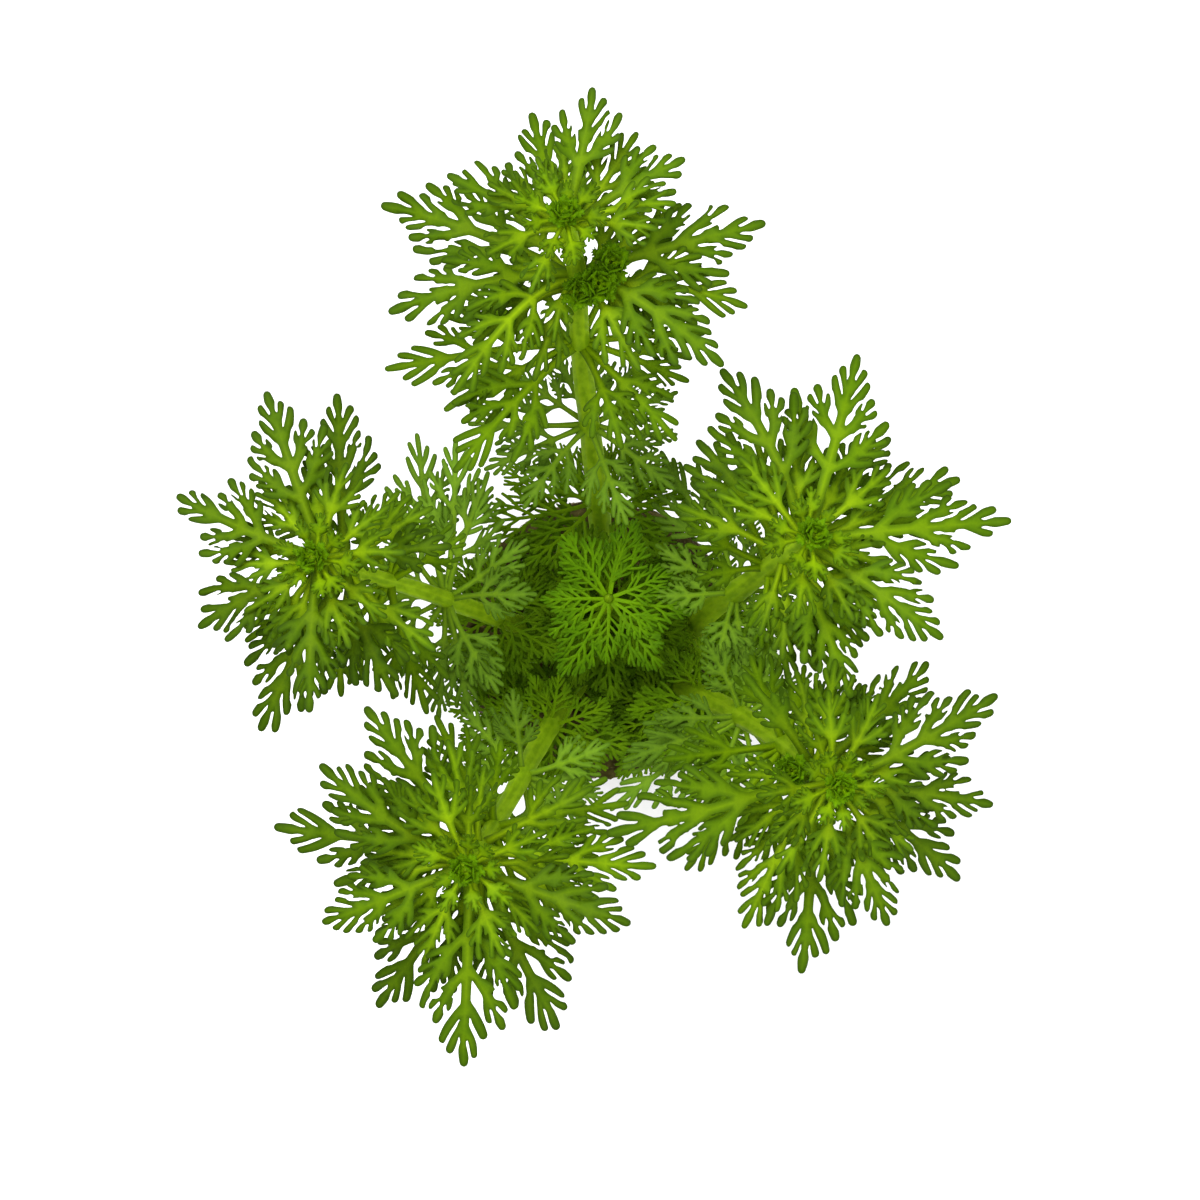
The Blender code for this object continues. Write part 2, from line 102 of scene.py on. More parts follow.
SHOOTS = {
    "north": Shoot(
        route=(
            (0.9, 6.2, 21), (0.5, 19.0, 47), (-1.0, 32.5, 68), (-2.5, 44.5, 86),
            (-2.8, 53.4, 97), (-4.2, 59.6, 105), (-4.5, 61.0, 109),
        ),
        heights=(105, 97, 86, 69, 52),
        stout=1.25,
        pale=1.2,
        leaf_tone=-0.05,
        tufts=((-80, 3.4, 3.0, 4.4), (-30, 3.8, 3.6, 5.0), (14, 3.6, 5.0, 4.8)),
        upper=((32, 18.5, 1.0), (79, 19.0, 1.0), (155, 18.0, 0.9)),
        second=(
            (14, 26.5, 0.85), (157, 29.0, 0.85), (192, 26.0, 0.85), (105, 25.0, 1.0), (326, 23.5, 1.0),
        ),
        inner=(
            (0, 94, 14.5), (0, 151, 12.7), (0, 130, 12.0), (0, 13, 15.4), (0, 57, 17.5),
            (0, 200, 12.0), (0, 238, 10.0), (0, 358, 12.5), (0, 112, 12.0),
            (1, 338, 16.5), (1, 353, 24.0), (1, 36, 18.0), (1, 62, 14.0), (1, 174, 13.0),
            (1, 210, 17.0), (1, 224, 24.0), (1, 246, 15.0), (1, 302, 16.0), (1, 130, 16.0),
            (1, 315, 14.0), (1, 88, 17.0), (1, 250, 10.0),
        ),
        third=((4, 18), (62, 16), (128, 16), (188, 28), (208, 20), (226, 26), (292, 17), (314, 20)),
        fourth=((20, 14), (85, 13), (145, 14), (180, 18), (204, 17), (232, 16), (290, 16), (322, 16)),
        lowest=((352, 17), (22, 14), (60, 12), (130, 12), (162, 16), (190, 19), (222, 15), (320, 14)),
    ),
    "east": Shoot(
        route=(
            (14.4, -9.5, 22), (15.0, -1.5, 38), (16.6, 3.7, 50), (21.6, 8.0, 66),
            (25.8, 11.4, 80), (27.8, 13.4, 90), (30.1, 15.1, 98), (31.0, 15.8, 102),
        ),
        heights=(98, 90, 80, 65, 48),
        stout=1.35,
        pale=1.05,
        leaf_tone=0.1,
        tufts=(),
        upper=((6, 28.5, 0.9), (74, 26.5, 1.15), (114, 26.5, 1.15), (323, 22.5, 1.0)),
        second=((48, 22.5, 0.85), (24, 27.0, 0.8), (127, 20.0, 1.0), (293, 21.5, 1.0)),
        inner=(
            (0, 95, 15.0), (0, 40, 16.0), (0, 345, 13.0), (0, 300, 13.0), (0, 150, 14.0),
            (0, 262, 11.0), (0, 60, 14.0), (0, 128, 15.0), (0, 20, 14.0),
            (1, 80, 18.0), (1, 155, 17.0), (1, 350, 14.5), (1, 268, 15.0), (1, 308, 17.0),
            (1, 103, 18.0), (1, 330, 17.0), (1, 60, 16.0), (1, 10, 15.0),
            (1, 252, 12.0), (1, 284, 14.0),
        ),
        third=((20, 15), (66, 14), (117, 20), (152, 14), (262, 12), (278, 17), (300, 17), (330, 18)),
        fourth=((30, 13), (76, 12), (108, 19), (118, 24), (150, 14), (184, 12), (254, 12), (298, 14)),
        lowest=((20, 12), (110, 11), (195, 6), (330, 11)),
    ),
    "south_east": Shoot(
        route=(
            (7.8, -3.6, 21), (14.8, -7.8, 45), (21.2, -10.7, 64), (27.8, -14.9, 83),
            (31.6, -18.3, 94), (33.9, -19.6, 101), (34.7, -20.1, 105),
        ),
        heights=(101, 94, 83, 67, 50),
        stout=1.3,
        pale=0.25,
        leaf_tone=-0.35,
        tufts=((175, 3.2, 3.6, 3.6),),
        upper=((352, 22.5, 0.9), (28, 25.0, 1.0), (292, 21.5, 1.0)),
        second=(
            (44, 21.5, 0.85), (126, 16.5, 0.45), (195, 29.5, 0.7), (268, 28.5, 1.05), (324, 25.5, 1.0),
        ),
        inner=(
            (0, 60, 14.0), (0, 95, 13.0), (0, 320, 16.0), (0, 262, 14.0), (0, 225, 12.0),
            (0, 188, 11.0), (0, 108, 10.0), (0, 10, 13.0), (0, 240, 15.0), (0, 305, 14.0),
            (0, 335, 15.0), (1, 80, 16.0), (1, 305, 20.0), (1, 246, 24.5), (1, 184, 12.0),
            (1, 340, 18.0), (1, 98, 14.0), (1, 222, 15.0), (1, 18, 14.5), (1, 283, 17.0),
            (1, 208, 17.0), (1, 62, 14.0),
        ),
        third=((30, 15), (76, 12), (112, 14), (186, 18), (231, 23), (290, 16), (330, 15)),
        fourth=((10, 13), (89, 10), (116, 13), (180, 13), (200, 19), (214, 24), (250, 15), (310, 14)),
        lowest=((0, 12), (60, 9), (190, 12), (240, 13), (300, 12)),
    ),
    "south_west": Shoot(
        route=(
            (-0.4, -2.6, 21), (-5.8, -11.0, 45), (-9.6, -17.0, 62), (-13.0, -23.3, 78),
            (-15.5, -27.2, 89), (-17.2, -29.4, 96), (-18.3, -31.2, 103), (-18.5, -31.7, 107),
        ),
        heights=(103, 96, 88, 70, 52),
        stout=1.1,
        pale=1.1,
        leaf_tone=-0.6,
        tufts=(),
        upper=((147, 24.0, 0.9), (202, 21.5, 1.0), (268, 28.0, 1.1), (342, 23.0, 1.0)),
        second=((128, 24.5, 1.0), (174, 28.0, 1.15), (238, 27.5, 1.2), (294, 27.5, 1.15)),
        inner=(
            (0, 315, 14.0), (0, 245, 16.0), (0, 172, 15.0), (0, 110, 14.0), (0, 88, 11.0),
            (0, 25, 12.0), (0, 5, 14.0), (0, 290, 14.0), (0, 220, 14.0), (0, 128, 14.0),
            (0, 190, 15.0), (1, 355, 25.0), (1, 330, 20.0), (1, 215, 18.0), (1, 270, 17.0),
            (1, 104, 16.0), (1, 28, 18.0), (1, 150, 18.0), (1, 308, 15.0), (1, 190, 17.0),
            (1, 255, 18.0), (1, 85, 12.0),
        ),
        third=((12, 20), (84, 13), (116, 18), (190, 16), (236, 16), (290, 16)),
        fourth=((20, 14), (96, 13), (130, 14), (195, 13), (250, 14), (305, 14), (345, 13)),
        lowest=((20, 10), (110, 9), (160, 11), (210, 12), (300, 12), (345, 13)),
    ),
    "west": Shoot(
        route=(
            (-4.2, -0.9, 21), (-12.3, 2.5, 42), (-19.6, 5.3, 60), (-26.5, 8.0, 76),
            (-31.8, 9.7, 86), (-36.4, 11.1, 94), (-39.5, 12.3, 101), (-40.4, 12.6, 105),
        ),
        heights=(101, 94, 84, 68, 51),
        stout=1.0,
        pale=1.0,
        leaf_tone=-0.6,
        tufts=(),
        upper=((109, 24.5, 1.1), (157, 21.5, 1.15), (207, 19.5, 1.0), (268, 20.5, 1.0)),
        second=((13, 14.5, 0.9), (92, 24.0, 0.85), (241, 25.5, 1.1), (293, 19.0, 1.0)),
        inner=(
            (0, 130, 15.0), (0, 182, 14.0), (0, 235, 14.0), (0, 75, 14.0), (0, 40, 12.0),
            (0, 5, 12.0), (0, 318, 12.0), (0, 290, 13.0), (0, 98, 13.0), (0, 215, 13.0),
            (0, 165, 14.0), (0, 252, 14.0), (1, 60, 13.0), (1, 35, 15.0),
            (1, 265, 18.0), (1, 215, 18.0), (1, 175, 15.0), (1, 318, 17.0), (1, 135, 17.0),
            (1, 115, 16.0), (1, 305, 16.0),
        ),
        third=((30, 13), (80, 13), (150, 14), (210, 15), (250, 16), (287, 20)),
        fourth=(
            (101, 25), (86, 24), (71, 20), (150, 13), (205, 13), (267, 18), (283, 18), (300, 16),
            (35, 15),
        ),
        lowest=((20, 12), (70, 14), (150, 12), (240, 12), (330, 12)),
    ),
}

# The short upright shoot: its lower whorls are given as (height, reach)
CENTRE_ROUTE = ((1.0, 1.0, 21), (1.0, 2.0, 29), (1.4, 4.4, 45), (1.9, 7.0, 63))
CENTRE_HEIGHT = 61
CENTRE_REACH = 13.0
CENTRE_LEAVES = 12
CENTRE_LOWER_LEAVES = 11
CENTRE_LOWER = ((50, 15.0), (39, 14.0))
CENTRE_STEM_RADIUS = 1.1

# Two young shoots beside it, each with one whorl of leaves, as (bearing, reach)
SideShoot = namedtuple("SideShoot", "route leaves")
SIDE_SHOOTS = (
    SideShoot(
        ((4.5, -9.5, 21), (7.0, -10.5, 32), (12.2, -12.0, 44)),
        ((125, 9), (160, 12), (195, 10), (230, 13), (265, 10), (300, 12), (335, 10)),
    ),
    SideShoot(
        ((-6.5, -8.0, 21), (-9.0, -9.5, 32), (-12.6, -13.0, 46)),
        ((60, 8), (95, 11), (130, 10), (165, 12), (200, 10), (238, 12), (275, 10)),
    ),
)
SIDE_STEM_RADIUS = 0.9


# Shader maths

class Value:
    """A number in a finish's node tree. Arithmetic on it adds Math nodes."""

    def __init__(self, finish, socket):
        self.finish, self.socket = finish, socket

    def __add__(self, other):
        return self.finish.math("ADD", self, other)

    def __radd__(self, other):
        return self.finish.math("ADD", other, self)

    def __sub__(self, other):
        return self.finish.math("SUBTRACT", self, other)

    def __rsub__(self, other):
        return self.finish.math("SUBTRACT", other, self)

    def __mul__(self, other):
        return self.finish.math("MULTIPLY", self, other)

    def __rmul__(self, other):
        return self.finish.math("MULTIPLY", other, self)

    def __pow__(self, other):
        return self.finish.math("POWER", self, other)

    def step(self, low, high):
        """0 below low, 1 above high and a smooth slope between them."""
        return self.finish.value(
            "MapRange", {"interpolation_type": "SMOOTHSTEP"},
            {"Value": self, "From Min": low, "From Max": high},
        )


class Finish:
    """One material and the nodes that make it."""

    def __init__(self, name):
        self.material = bpy.data.materials.new(name)
        self.material.use_nodes = True
        self.tree = self.material.node_tree
        self.shader = self.tree.nodes["Principled BSDF"]

    def node(self, kind, settings, inputs):
        """A node of a type, with its settings made first and then its sockets' values or links."""
        made = self.tree.nodes.new("ShaderNode" + kind)
        for key, setting in settings.items():
            setattr(made, key, setting)
        self.feed(made, inputs)
        return made

    def feed(self, node, inputs):
        for key, given in inputs.items():
            socket = node.inputs[key]
            if isinstance(given, Value):
                self.tree.links.new(given.socket, socket)
            elif isinstance(given, bpy.types.NodeSocket):
                self.tree.links.new(given, socket)
            else:
                socket.default_value = given

    def value(self, kind, settings, inputs, output=0):
        return Value(self, self.node(kind, settings, inputs).outputs[output])

    def math(self, operation, first, second):
        return self.value("Math", {"operation": operation}, {0: first, 1: second})

    def mix(self, share, first, second):
        """A colour between two colours."""
        colours = [c if isinstance(c, bpy.types.NodeSocket) else (*c, 1) for c in (first, second)]
        made = self.node("Mix", {"data_type": "RGBA"}, {0: share, 6: colours[0], 7: colours[1]})
        return made.outputs[2]

    def shade(self, colour, factor):
        """A colour made darker or lighter by a number."""
        made = self.node("VectorMath", {"operation": "SCALE"}, {0: colour, "Scale": factor})
        return made.outputs[0]

    def place(self):
        return self.node("TexCoord", {}, {}).outputs["Object"]

    def noise(self, scale, detail, place=None):
        place = place or self.place()
        return self.value("TexNoise", {}, {"Vector": place, "Scale": scale, "Detail": detail})

    def form(self):
        """The four numbers that each point of a mesh carries."""
        read = self.node("Attribute", {"attribute_name": "form"}, {})
        parts = self.node("SeparateColor", {}, {0: read.outputs["Color"]})
        return [Value(self, s) for s in (*parts.outputs, read.outputs["Alpha"])]

    def bump(self, height, strength, distance):
        made = self.node("Bump", {}, {"Height": height, "Strength": strength, "Distance": distance})
        return made.outputs[0]


LEAF_GLOSS = 0.025

# A leaf's colours: its blade with brighter clouds, its ribs, its margins' painted shade and the ends of its
# lobes
LeafGreen = namedtuple("LeafGreen", "name blade bright rib edge tip roughness")
LEAF_GREENS = {
    "crown": LeafGreen(
        "crown_leaf_green", (0.041, 0.096, 0.001), (0.059, 0.121, 0.001), (0.124, 0.208, 0.002),
        (0.016, 0.035, 0.001), (0.032, 0.074, 0.001), 0.42,
    ),
    "inner": LeafGreen(
        "inner_leaf_green", (0.045, 0.104, 0.001), (0.068, 0.137, 0.001), (0.225, 0.345, 0.003),
        (0.019, 0.042, 0.001), (0.034, 0.078, 0.001), 0.44,
    ),
    "young": LeafGreen(
        "young_leaf_green", (0.064, 0.138, 0.001), (0.090, 0.174, 0.001), (0.235, 0.360, 0.002),
        (0.026, 0.058, 0.001), (0.038, 0.088, 0.001), 0.44,
    ),
    "divided": LeafGreen(
        "lower_leaf_green", (0.049, 0.112, 0.001), (0.070, 0.141, 0.001), (0.150, 0.255, 0.001),
        (0.023, 0.050, 0.001), (0.036, 0.080, 0.001), 0.46,
    ),
    "narrow": LeafGreen(
        "narrow_leaf_green", (0.074, 0.154, 0.009), (0.096, 0.183, 0.012), (0.140, 0.245, 0.006),
        (0.036, 0.077, 0.004), (0.056, 0.118, 0.006), 0.50,
    ),
    "thread": LeafGreen(
        "thread_leaf_green", (0.059, 0.132, 0.001), (0.083, 0.162, 0.001), (0.110, 0.200, 0.001),
        (0.038, 0.082, 0.001), (0.046, 0.098, 0.001), 0.48,
    ),
    "ground": LeafGreen(
        "ground_leaf_green", (0.047, 0.110, 0.001), (0.066, 0.138, 0.001), (0.090, 0.174, 0.001),
        (0.028, 0.066, 0.001), (0.036, 0.080, 0.001), 0.50,
    ),
    "centre": LeafGreen(
        "centre_leaf_green", (0.056, 0.146, 0.001), (0.076, 0.176, 0.001), (0.120, 0.240, 0.001),
        (0.034, 0.090, 0.001), (0.044, 0.106, 0.001), 0.46,
    ),
    "bud": LeafGreen(
        "bud_green", (0.092, 0.210, 0.001), (0.124, 0.262, 0.001), (0.205, 0.360, 0.002),
        (0.045, 0.108, 0.001), (0.062, 0.145, 0.001), 0.44,
    ),
}


def leaf_finish(green):
    """Leaf green: brighter along the ribs, darker at the ends of the lobes, with painted shade at the
    margins.
    """
    f = Finish(green.name)
    inward, ribs, ends, tone = f.form()
    cloudy = f.noise(scale=330, detail=3)
    fine = f.noise(scale=1900, detail=3)
    colour = f.mix(cloudy.step(0.36, 0.66), green.blade, green.bright)
    colour = f.mix(ribs * (0.25 + inward * 0.75) * 0.9, colour, green.rib)
    colour = f.mix(ends ** 1.5 * 0.65, colour, green.tip)
    # Painted shade: the margins, where the leaf rounds over, are coloured darker, most of all near the
    # lobes' ends
    colour = f.mix((1 - inward) ** 1.2 * (0.35 + ends * 0.45), colour, green.edge)
    colour = f.shade(colour, 0.78 + tone * 0.32 + fine * 0.28)
    f.feed(f.shader, {
        "Base Color": colour,
        "Roughness": green.roughness + fine * 0.2 - ribs * 0.05,
        "Specular IOR Level": LEAF_GLOSS,
        "Normal": f.bump(fine + cloudy * 1.4, strength=0.45, distance=0.00015),
    })
    return f.material


def stem_finish():
    """Stem: yellow-green, paler ribs, darker grooves and foot; painted light, lighter on top, darker below.
    """
    f = Finish("stem_green")
    green, bright, pale = (0.105, 0.198, 0.002), (0.165, 0.280, 0.004), (0.22, 0.345, 0.006)
    at_nodes, at_foot = (0.085, 0.170, 0.002), (0.100, 0.190, 0.003)
    ridge, node, along, tone = f.form()
    drawn_out = f.node("Mapping", {}, {0: f.place(), "Scale": (1, 1, 0.06)}).outputs[0]
    streak = f.noise(scale=900, detail=3, place=drawn_out)
    fine = f.noise(scale=1500, detail=3)
    colour = f.mix(streak.step(0.35, 0.65), green, bright)
    colour = f.mix(ridge ** 2 * 0.5, colour, pale)
    colour = f.mix(node * 0.3, colour, at_nodes)
    colour = f.mix(1 - along.step(-0.10, 0.30), colour, at_foot)
    # Painted light: the fourth number colours the stem's upper side lighter and its underside darker, with
    # its own tone
    colour = f.shade(colour, 0.66 + tone * 0.43)
    f.feed(f.shader, {
        "Base Color": colour,
        "Roughness": 0.42 + fine * 0.2,
        "Specular IOR Level": 0.03,
        "Normal": f.bump(streak + fine * 0.5, strength=0.4, distance=0.00015),
    })
    return f.material


def medium_finish():
    """Growing medium: dark brown peat with paler fibres and crumbs, and painted shade in the low parts of
    its lumps.
    """
    f = Finish("growing_medium")
    wet, dry = (0.018, 0.015, 0.003), (0.048, 0.041, 0.010)
    fibre, crumb_brown = (0.095, 0.080, 0.026), (0.056, 0.047, 0.012)
    height, crumb, _, tone = f.form()
    rough = f.noise(scale=420, detail=5)
    fine = f.noise(scale=1900, detail=4)
    colour = f.mix(rough.step(0.35, 0.7), wet, dry)
    colour = f.mix(fine.step(0.58, 0.72) * 0.6, colour, fibre)
    colour = f.mix(crumb, colour, crumb_brown)
    # Painted shade: the first number darkens the low parts of the lumpy surface and lightens the high ones
    colour = f.shade(colour, 0.45 + height * 0.8 + tone * 0.2)
    f.feed(f.shader, {
        "Base Color": colour,
        "Roughness": 0.85 + fine * 0.12,
        "Specular IOR Level": 0.02,
        "Normal": f.bump(rough + fine * 0.6, strength=0.8, distance=0.0005),
    })
    return f.material


def root_finish():
    """Roots: off-white to tan, darker where they are old."""
    f = Finish("root_tan")
    tan, off_white, old = (0.10, 0.072, 0.030), (0.20, 0.150, 0.075), (0.06, 0.04, 0.018)
    _, _, along, tone = f.form()
    cloudy = f.noise(scale=300, detail=3)
    fine = f.noise(scale=2500, detail=2)
    colour = f.mix(cloudy.step(0.3, 0.7), tan, off_white)
    colour = f.mix(tone.step(0.4, 0.9) * 0.8, colour, old)
    colour = f.shade(colour, 0.75 + along * 0.3)
    f.feed(f.shader, {
        "Base Color": colour,
        "Roughness": 0.6 + fine * 0.2,
        "Normal": f.bump(fine, strength=0.4, distance=0.0001),
    })
    return f.material


# Flat leaves

ARC_STEPS = 6

# Half widths along a leaf's arms, as shares of a lobe's width
STALK_WIDTHS = (0.72, 0.64, 0.54, 0.50, 0.54, 0.55, 0.50, 0.48, 0.47, 0.38)
PINNA_WIDTHS = (0.44, 0.42, 0.44, 0.42, 0.36)
LOBE_WIDTHS = (0.42, 0.44, 0.49, 0.51, 0.42)
THREAD_STALK_WIDTHS = (0.66, 0.60, 0.54, 0.48, 0.42)
THREAD_WIDTHS = (0.44, 0.44, 0.47, 0.40)
INNER_LOBE_WIDTH = 0.88

# What a leaf's stalk and a pinna's arm take of its length, and the lobe at the end of each, as
# (share of the arm, length, width)
STALK_SHARE = 0.9
LEAF_END = (0.97, 0.15, 1.06)
PINNA_SHARE = 0.66
PINNA_END = (0.92, 0.42, 1.02)

# How far arms bend back, as shares of the angle they leave by
PINNA_BEND = 0.45
LOBE_BEND = 0.4
FORK_BEND = 0.5

# Ranges that seeded numbers are drawn from: shares of the usual size, and angles in degrees
BENDS = (0.8, 1.2)
LOBE_SIZES = (0.9, 1.15)
LOBE_PLAY = (0.94, 1.06)
END_TURNS = (-5, 5)
PINNA_TURNS = (-4, 4)
STALK_LOBE_ANGLES = (33, 41)
PINNA_LOBE_ANGLES = (30, 38)
FORK_ANGLES = (30, 42)

# The leaf length at which lobes have their given width, and how fast the width follows the length
DIVIDED_LENGTH, DIVIDED_POWER = 25, 0.3
THREAD_LENGTH, THREAD_POWER = 13, 0.4
SHORTEST_LOBE = 0.3
TWO_PAIRS_FROM = 21.5

# place, play: where a pair of pinnae stands, as a share of the leaf's length, and by how much that varies.
# sizes, angle: the pinnae's lengths and the angle they leave by.
# outer, inner: lobes on a pinna's two sides, as (share of its length, size).
Pair = namedtuple("Pair", "place play sizes angle outer inner")
LARGE_LOW_PAIR = Pair(
    0.40, 0.03, (0.39, 0.46), 42, ((0.22, 0.38), (0.40, 0.38), (0.57, 0.30)), ((0.36, 0.36), (0.56, 0.30)),
)
LARGE_HIGH_PAIR = Pair(0.59, 0.02, (0.27, 0.32), 40, ((0.28, 0.42), (0.52, 0.36)), ((0.48, 0.36),))
ONLY_PAIR = Pair(0.50, 0.03, (0.40, 0.47), 37, ((0.22, 0.42), (0.44, 0.38)), ((0.34, 0.42), (0.56, 0.30)))

# By the number of pairs: the pairs, and the lobes above them on the stalk, as (place, size)
DIVISIONS = {
    1: ((ONLY_PAIR,), ((0.65, 0.25), (0.78, 0.18))),
    2: ((LARGE_LOW_PAIR, LARGE_HIGH_PAIR), ((0.74, 0.18), (0.84, 0.13))),
}

# A thread leaf's arms on either side of its stalk, as (share of the stalk, length, angle)
THREAD_PAIRS = ((0.26, 0.50, 44), (0.42, 0.42, 42), (0.58, 0.33, 40), (0.73, 0.23, 38), (0.86, 0.13, 36))

# The side threads of an arm longer than so much, as (share of the arm, length, side)
THREAD_FORKS = (
    (4.2, ((0.36, 0.52, 1), (0.52, 0.44, -1), (0.70, 0.28, 1))),
    (2.4, ((0.42, 0.50, 1), (0.60, 0.38, -1))),
    (0, ()),
)


def unit(rows):
    return rows / np.linalg.norm(rows, axis=-1, keepdims=True)


class Branch:
    """One arm of a flat leaf: an arc with a half width that changes along it."""

    def __init__(self, parent, level, start, heading, length, bend, widths):
        self.parent, self.level = parent, level
        self.heading, self.bend, self.length = heading, bend, length
        courses = heading + bend * (np.arange(ARC_STEPS) + 0.5) / ARC_STEPS
        steps = np.stack([np.cos(courses), np.sin(courses)], 1) * length / ARC_STEPS
        self.points = np.concatenate([[start], start + np.cumsum(steps, 0)])
        shares = np.linspace(0, 1, ARC_STEPS + 1)
        self.radii = np.interp(shares, np.linspace(0, 1, len(widths)), widths)

    def at(self, share):
        """The place and the heading at a share of the arm's length."""
        steps = share * ARC_STEPS
        first = min(int(steps), ARC_STEPS - 1)
        start, end = self.points[first], self.points[first + 1]
        return start + (end - start) * (steps - first), self.heading + self.bend * share


def add_lobe(arms, parent, share, turn, length, wide, rng, bend=LOBE_BEND):
    """A lobe with a narrow foot and a round, wider end."""
    start, heading = arms[parent].at(share)
    widths = [w * wide * rng.uniform(*LOBE_PLAY) for w in LOBE_WIDTHS]
    arc = -turn * bend * rng.uniform(*BENDS)
    length = max(length - widths[-1], SHORTEST_LOBE)
    arms.append(Branch(parent, 2, start, heading + turn, length, arc, widths))


def add_end_lobe(arms, parent, end, length, wide, rng):
    """The nearly straight lobe that ends an arm."""
    share, size, width = end
    turn = math.radians(rng.uniform(*END_TURNS))
    add_lobe(arms, parent, share, turn, length * size, wide * width, rng, 0)


def add_pinna(arms, share, side, length, angle, wide, rng, outer, inner):
    """A pinna: a short arm with lobes on both sides and one at its end."""
    start, heading = arms[0].at(share)
    turn = side * math.radians(angle + rng.uniform(*PINNA_TURNS))
    arc = -turn * PINNA_BEND * rng.uniform(*BENDS)
    widths = [w * wide for w in PINNA_WIDTHS]
    arms.append(Branch(0, 1, start, heading + turn, length * PINNA_SHARE, arc, widths))
    main = len(arms) - 1
    add_end_lobe(arms, main, PINNA_END, length, wide, rng)
    for which, lobes, width in ((side, outer, wide), (-side, inner, wide * INNER_LOBE_WIDTH)):
        for at, size in lobes:
            add_lobe(
                arms, main, at / PINNA_SHARE + rng.uniform(-0.03, 0.03),
                which * math.radians(rng.uniform(*PINNA_LOBE_ANGLES)),
                length * size * rng.uniform(*LOBE_SIZES), width, rng,
            )


def divided_leaf(length, rng, spread, wide, pairs=None):
    """The arms of a pinnately lobed leaf, with one or two pairs of pinnae."""
    plan, lobes = DIVISIONS[pairs or (2 if length > TWO_PAIRS_FROM else 1)]
    wide *= (length / DIVIDED_LENGTH) ** DIVIDED_POWER
    bend = rng.uniform(-0.22, 0.22)
    widths = [w * wide for w in STALK_WIDTHS]
    arms = [Branch(None, 0, (0, 0), -bend / 2, length * STALK_SHARE, bend, widths)]
    places = [pair.place + rng.uniform(-pair.play, pair.play) for pair in plan]
    for place, pair in zip(places, plan):
        for side in (1, -1):
            add_pinna(
                arms, (place + rng.uniform(-0.02, 0.02)) / STALK_SHARE, side,
                length * rng.uniform(*pair.sizes), pair.angle * spread, wide, rng, pair.outer, pair.inner,
            )
    for place, size in lobes:
        for side in (1, -1):
            add_lobe(
                arms, 0, place / STALK_SHARE + rng.uniform(-0.015, 0.015),
                side * math.radians(rng.uniform(*STALK_LOBE_ANGLES)),
                length * size * rng.uniform(*LOBE_SIZES) + SHORTEST_LOBE, wide, rng,
            )
    add_end_lobe(arms, 0, LEAF_END, length, wide, rng)
    return arms


def thread_arms(length, rng, wide):
    """The arms of a leaf with forked, thread-like lobes."""
    wide *= (length / THREAD_LENGTH) ** THREAD_POWER
    bend = rng.uniform(-0.3, 0.3)
    arms = [Branch(None, 0, (0, 0), -bend / 2, length, bend, [w * wide for w in THREAD_STALK_WIDTHS])]
    for share, size, angle in THREAD_PAIRS:
        for side in (1, -1):
            start, heading = arms[0].at(share + rng.uniform(-0.03, 0.03))
            turn = side * math.radians(angle + rng.uniform(-7, 7))
            reach = length * size * rng.uniform(0.88, 1.12)
            arc = -turn * rng.uniform(0.4, 0.7)
            arms.append(Branch(0, 1, start, heading + turn, reach, arc, [w * wide for w in THREAD_WIDTHS]))
            add_forks(arms, len(arms) - 1, side, reach, wide, rng)
    return arms


def add_forks(arms, main, side, reach, wide, rng):
    """The side threads of one arm, more of them on a longer one."""
    forks = next(forks for longer_than, forks in THREAD_FORKS if reach > longer_than)
    for share, size, which in forks:
        start, heading = arms[main].at(share)
        turn = side * which * math.radians(rng.uniform(*FORK_ANGLES))
        arms.append(Branch(
            main, 2, start, heading + turn, reach * size * rng.uniform(0.85, 1.15),
            -turn * FORK_BEND, [w * wide for w in THREAD_WIDTHS],
        ))


# Room round a leaf in its grid and round an arm in its window, and what counts as far away
LEAF_MARGIN = 1.2
ARM_MARGIN = 0.8
FAR = 9.0

# Where the slit between passing arms starts and how soon it is open, as shares of an arm's length
SLIT_FROM = 0.15
SLIT_OPENS_OVER = 0.2


def arm_distances(x, y, arm):
    """Distance to an arm's edge, below 0 inside it, and the share along it, for many places."""
    nearest = np.full(np.broadcast(x, y).shape, FAR)
    along = np.zeros_like(nearest)
    ends = zip(arm.points, arm.points[1:], arm.radii, arm.radii[1:])
    for k, (start, end, width, next_width) in enumerate(ends):
        run = end - start
        share = np.clip(((x - start[0]) * run[0] + (y - start[1]) * run[1]) / (run @ run), 0, 1)
        away = np.hypot(x - start[0] - share * run[0], y - start[1] - share * run[1])
        away = away - width - (next_width - width) * share
        closer = away < nearest
        nearest = np.where(closer, away, nearest)
        along = np.where(closer, (k + share) / ARC_STEPS, along)
    return nearest, along


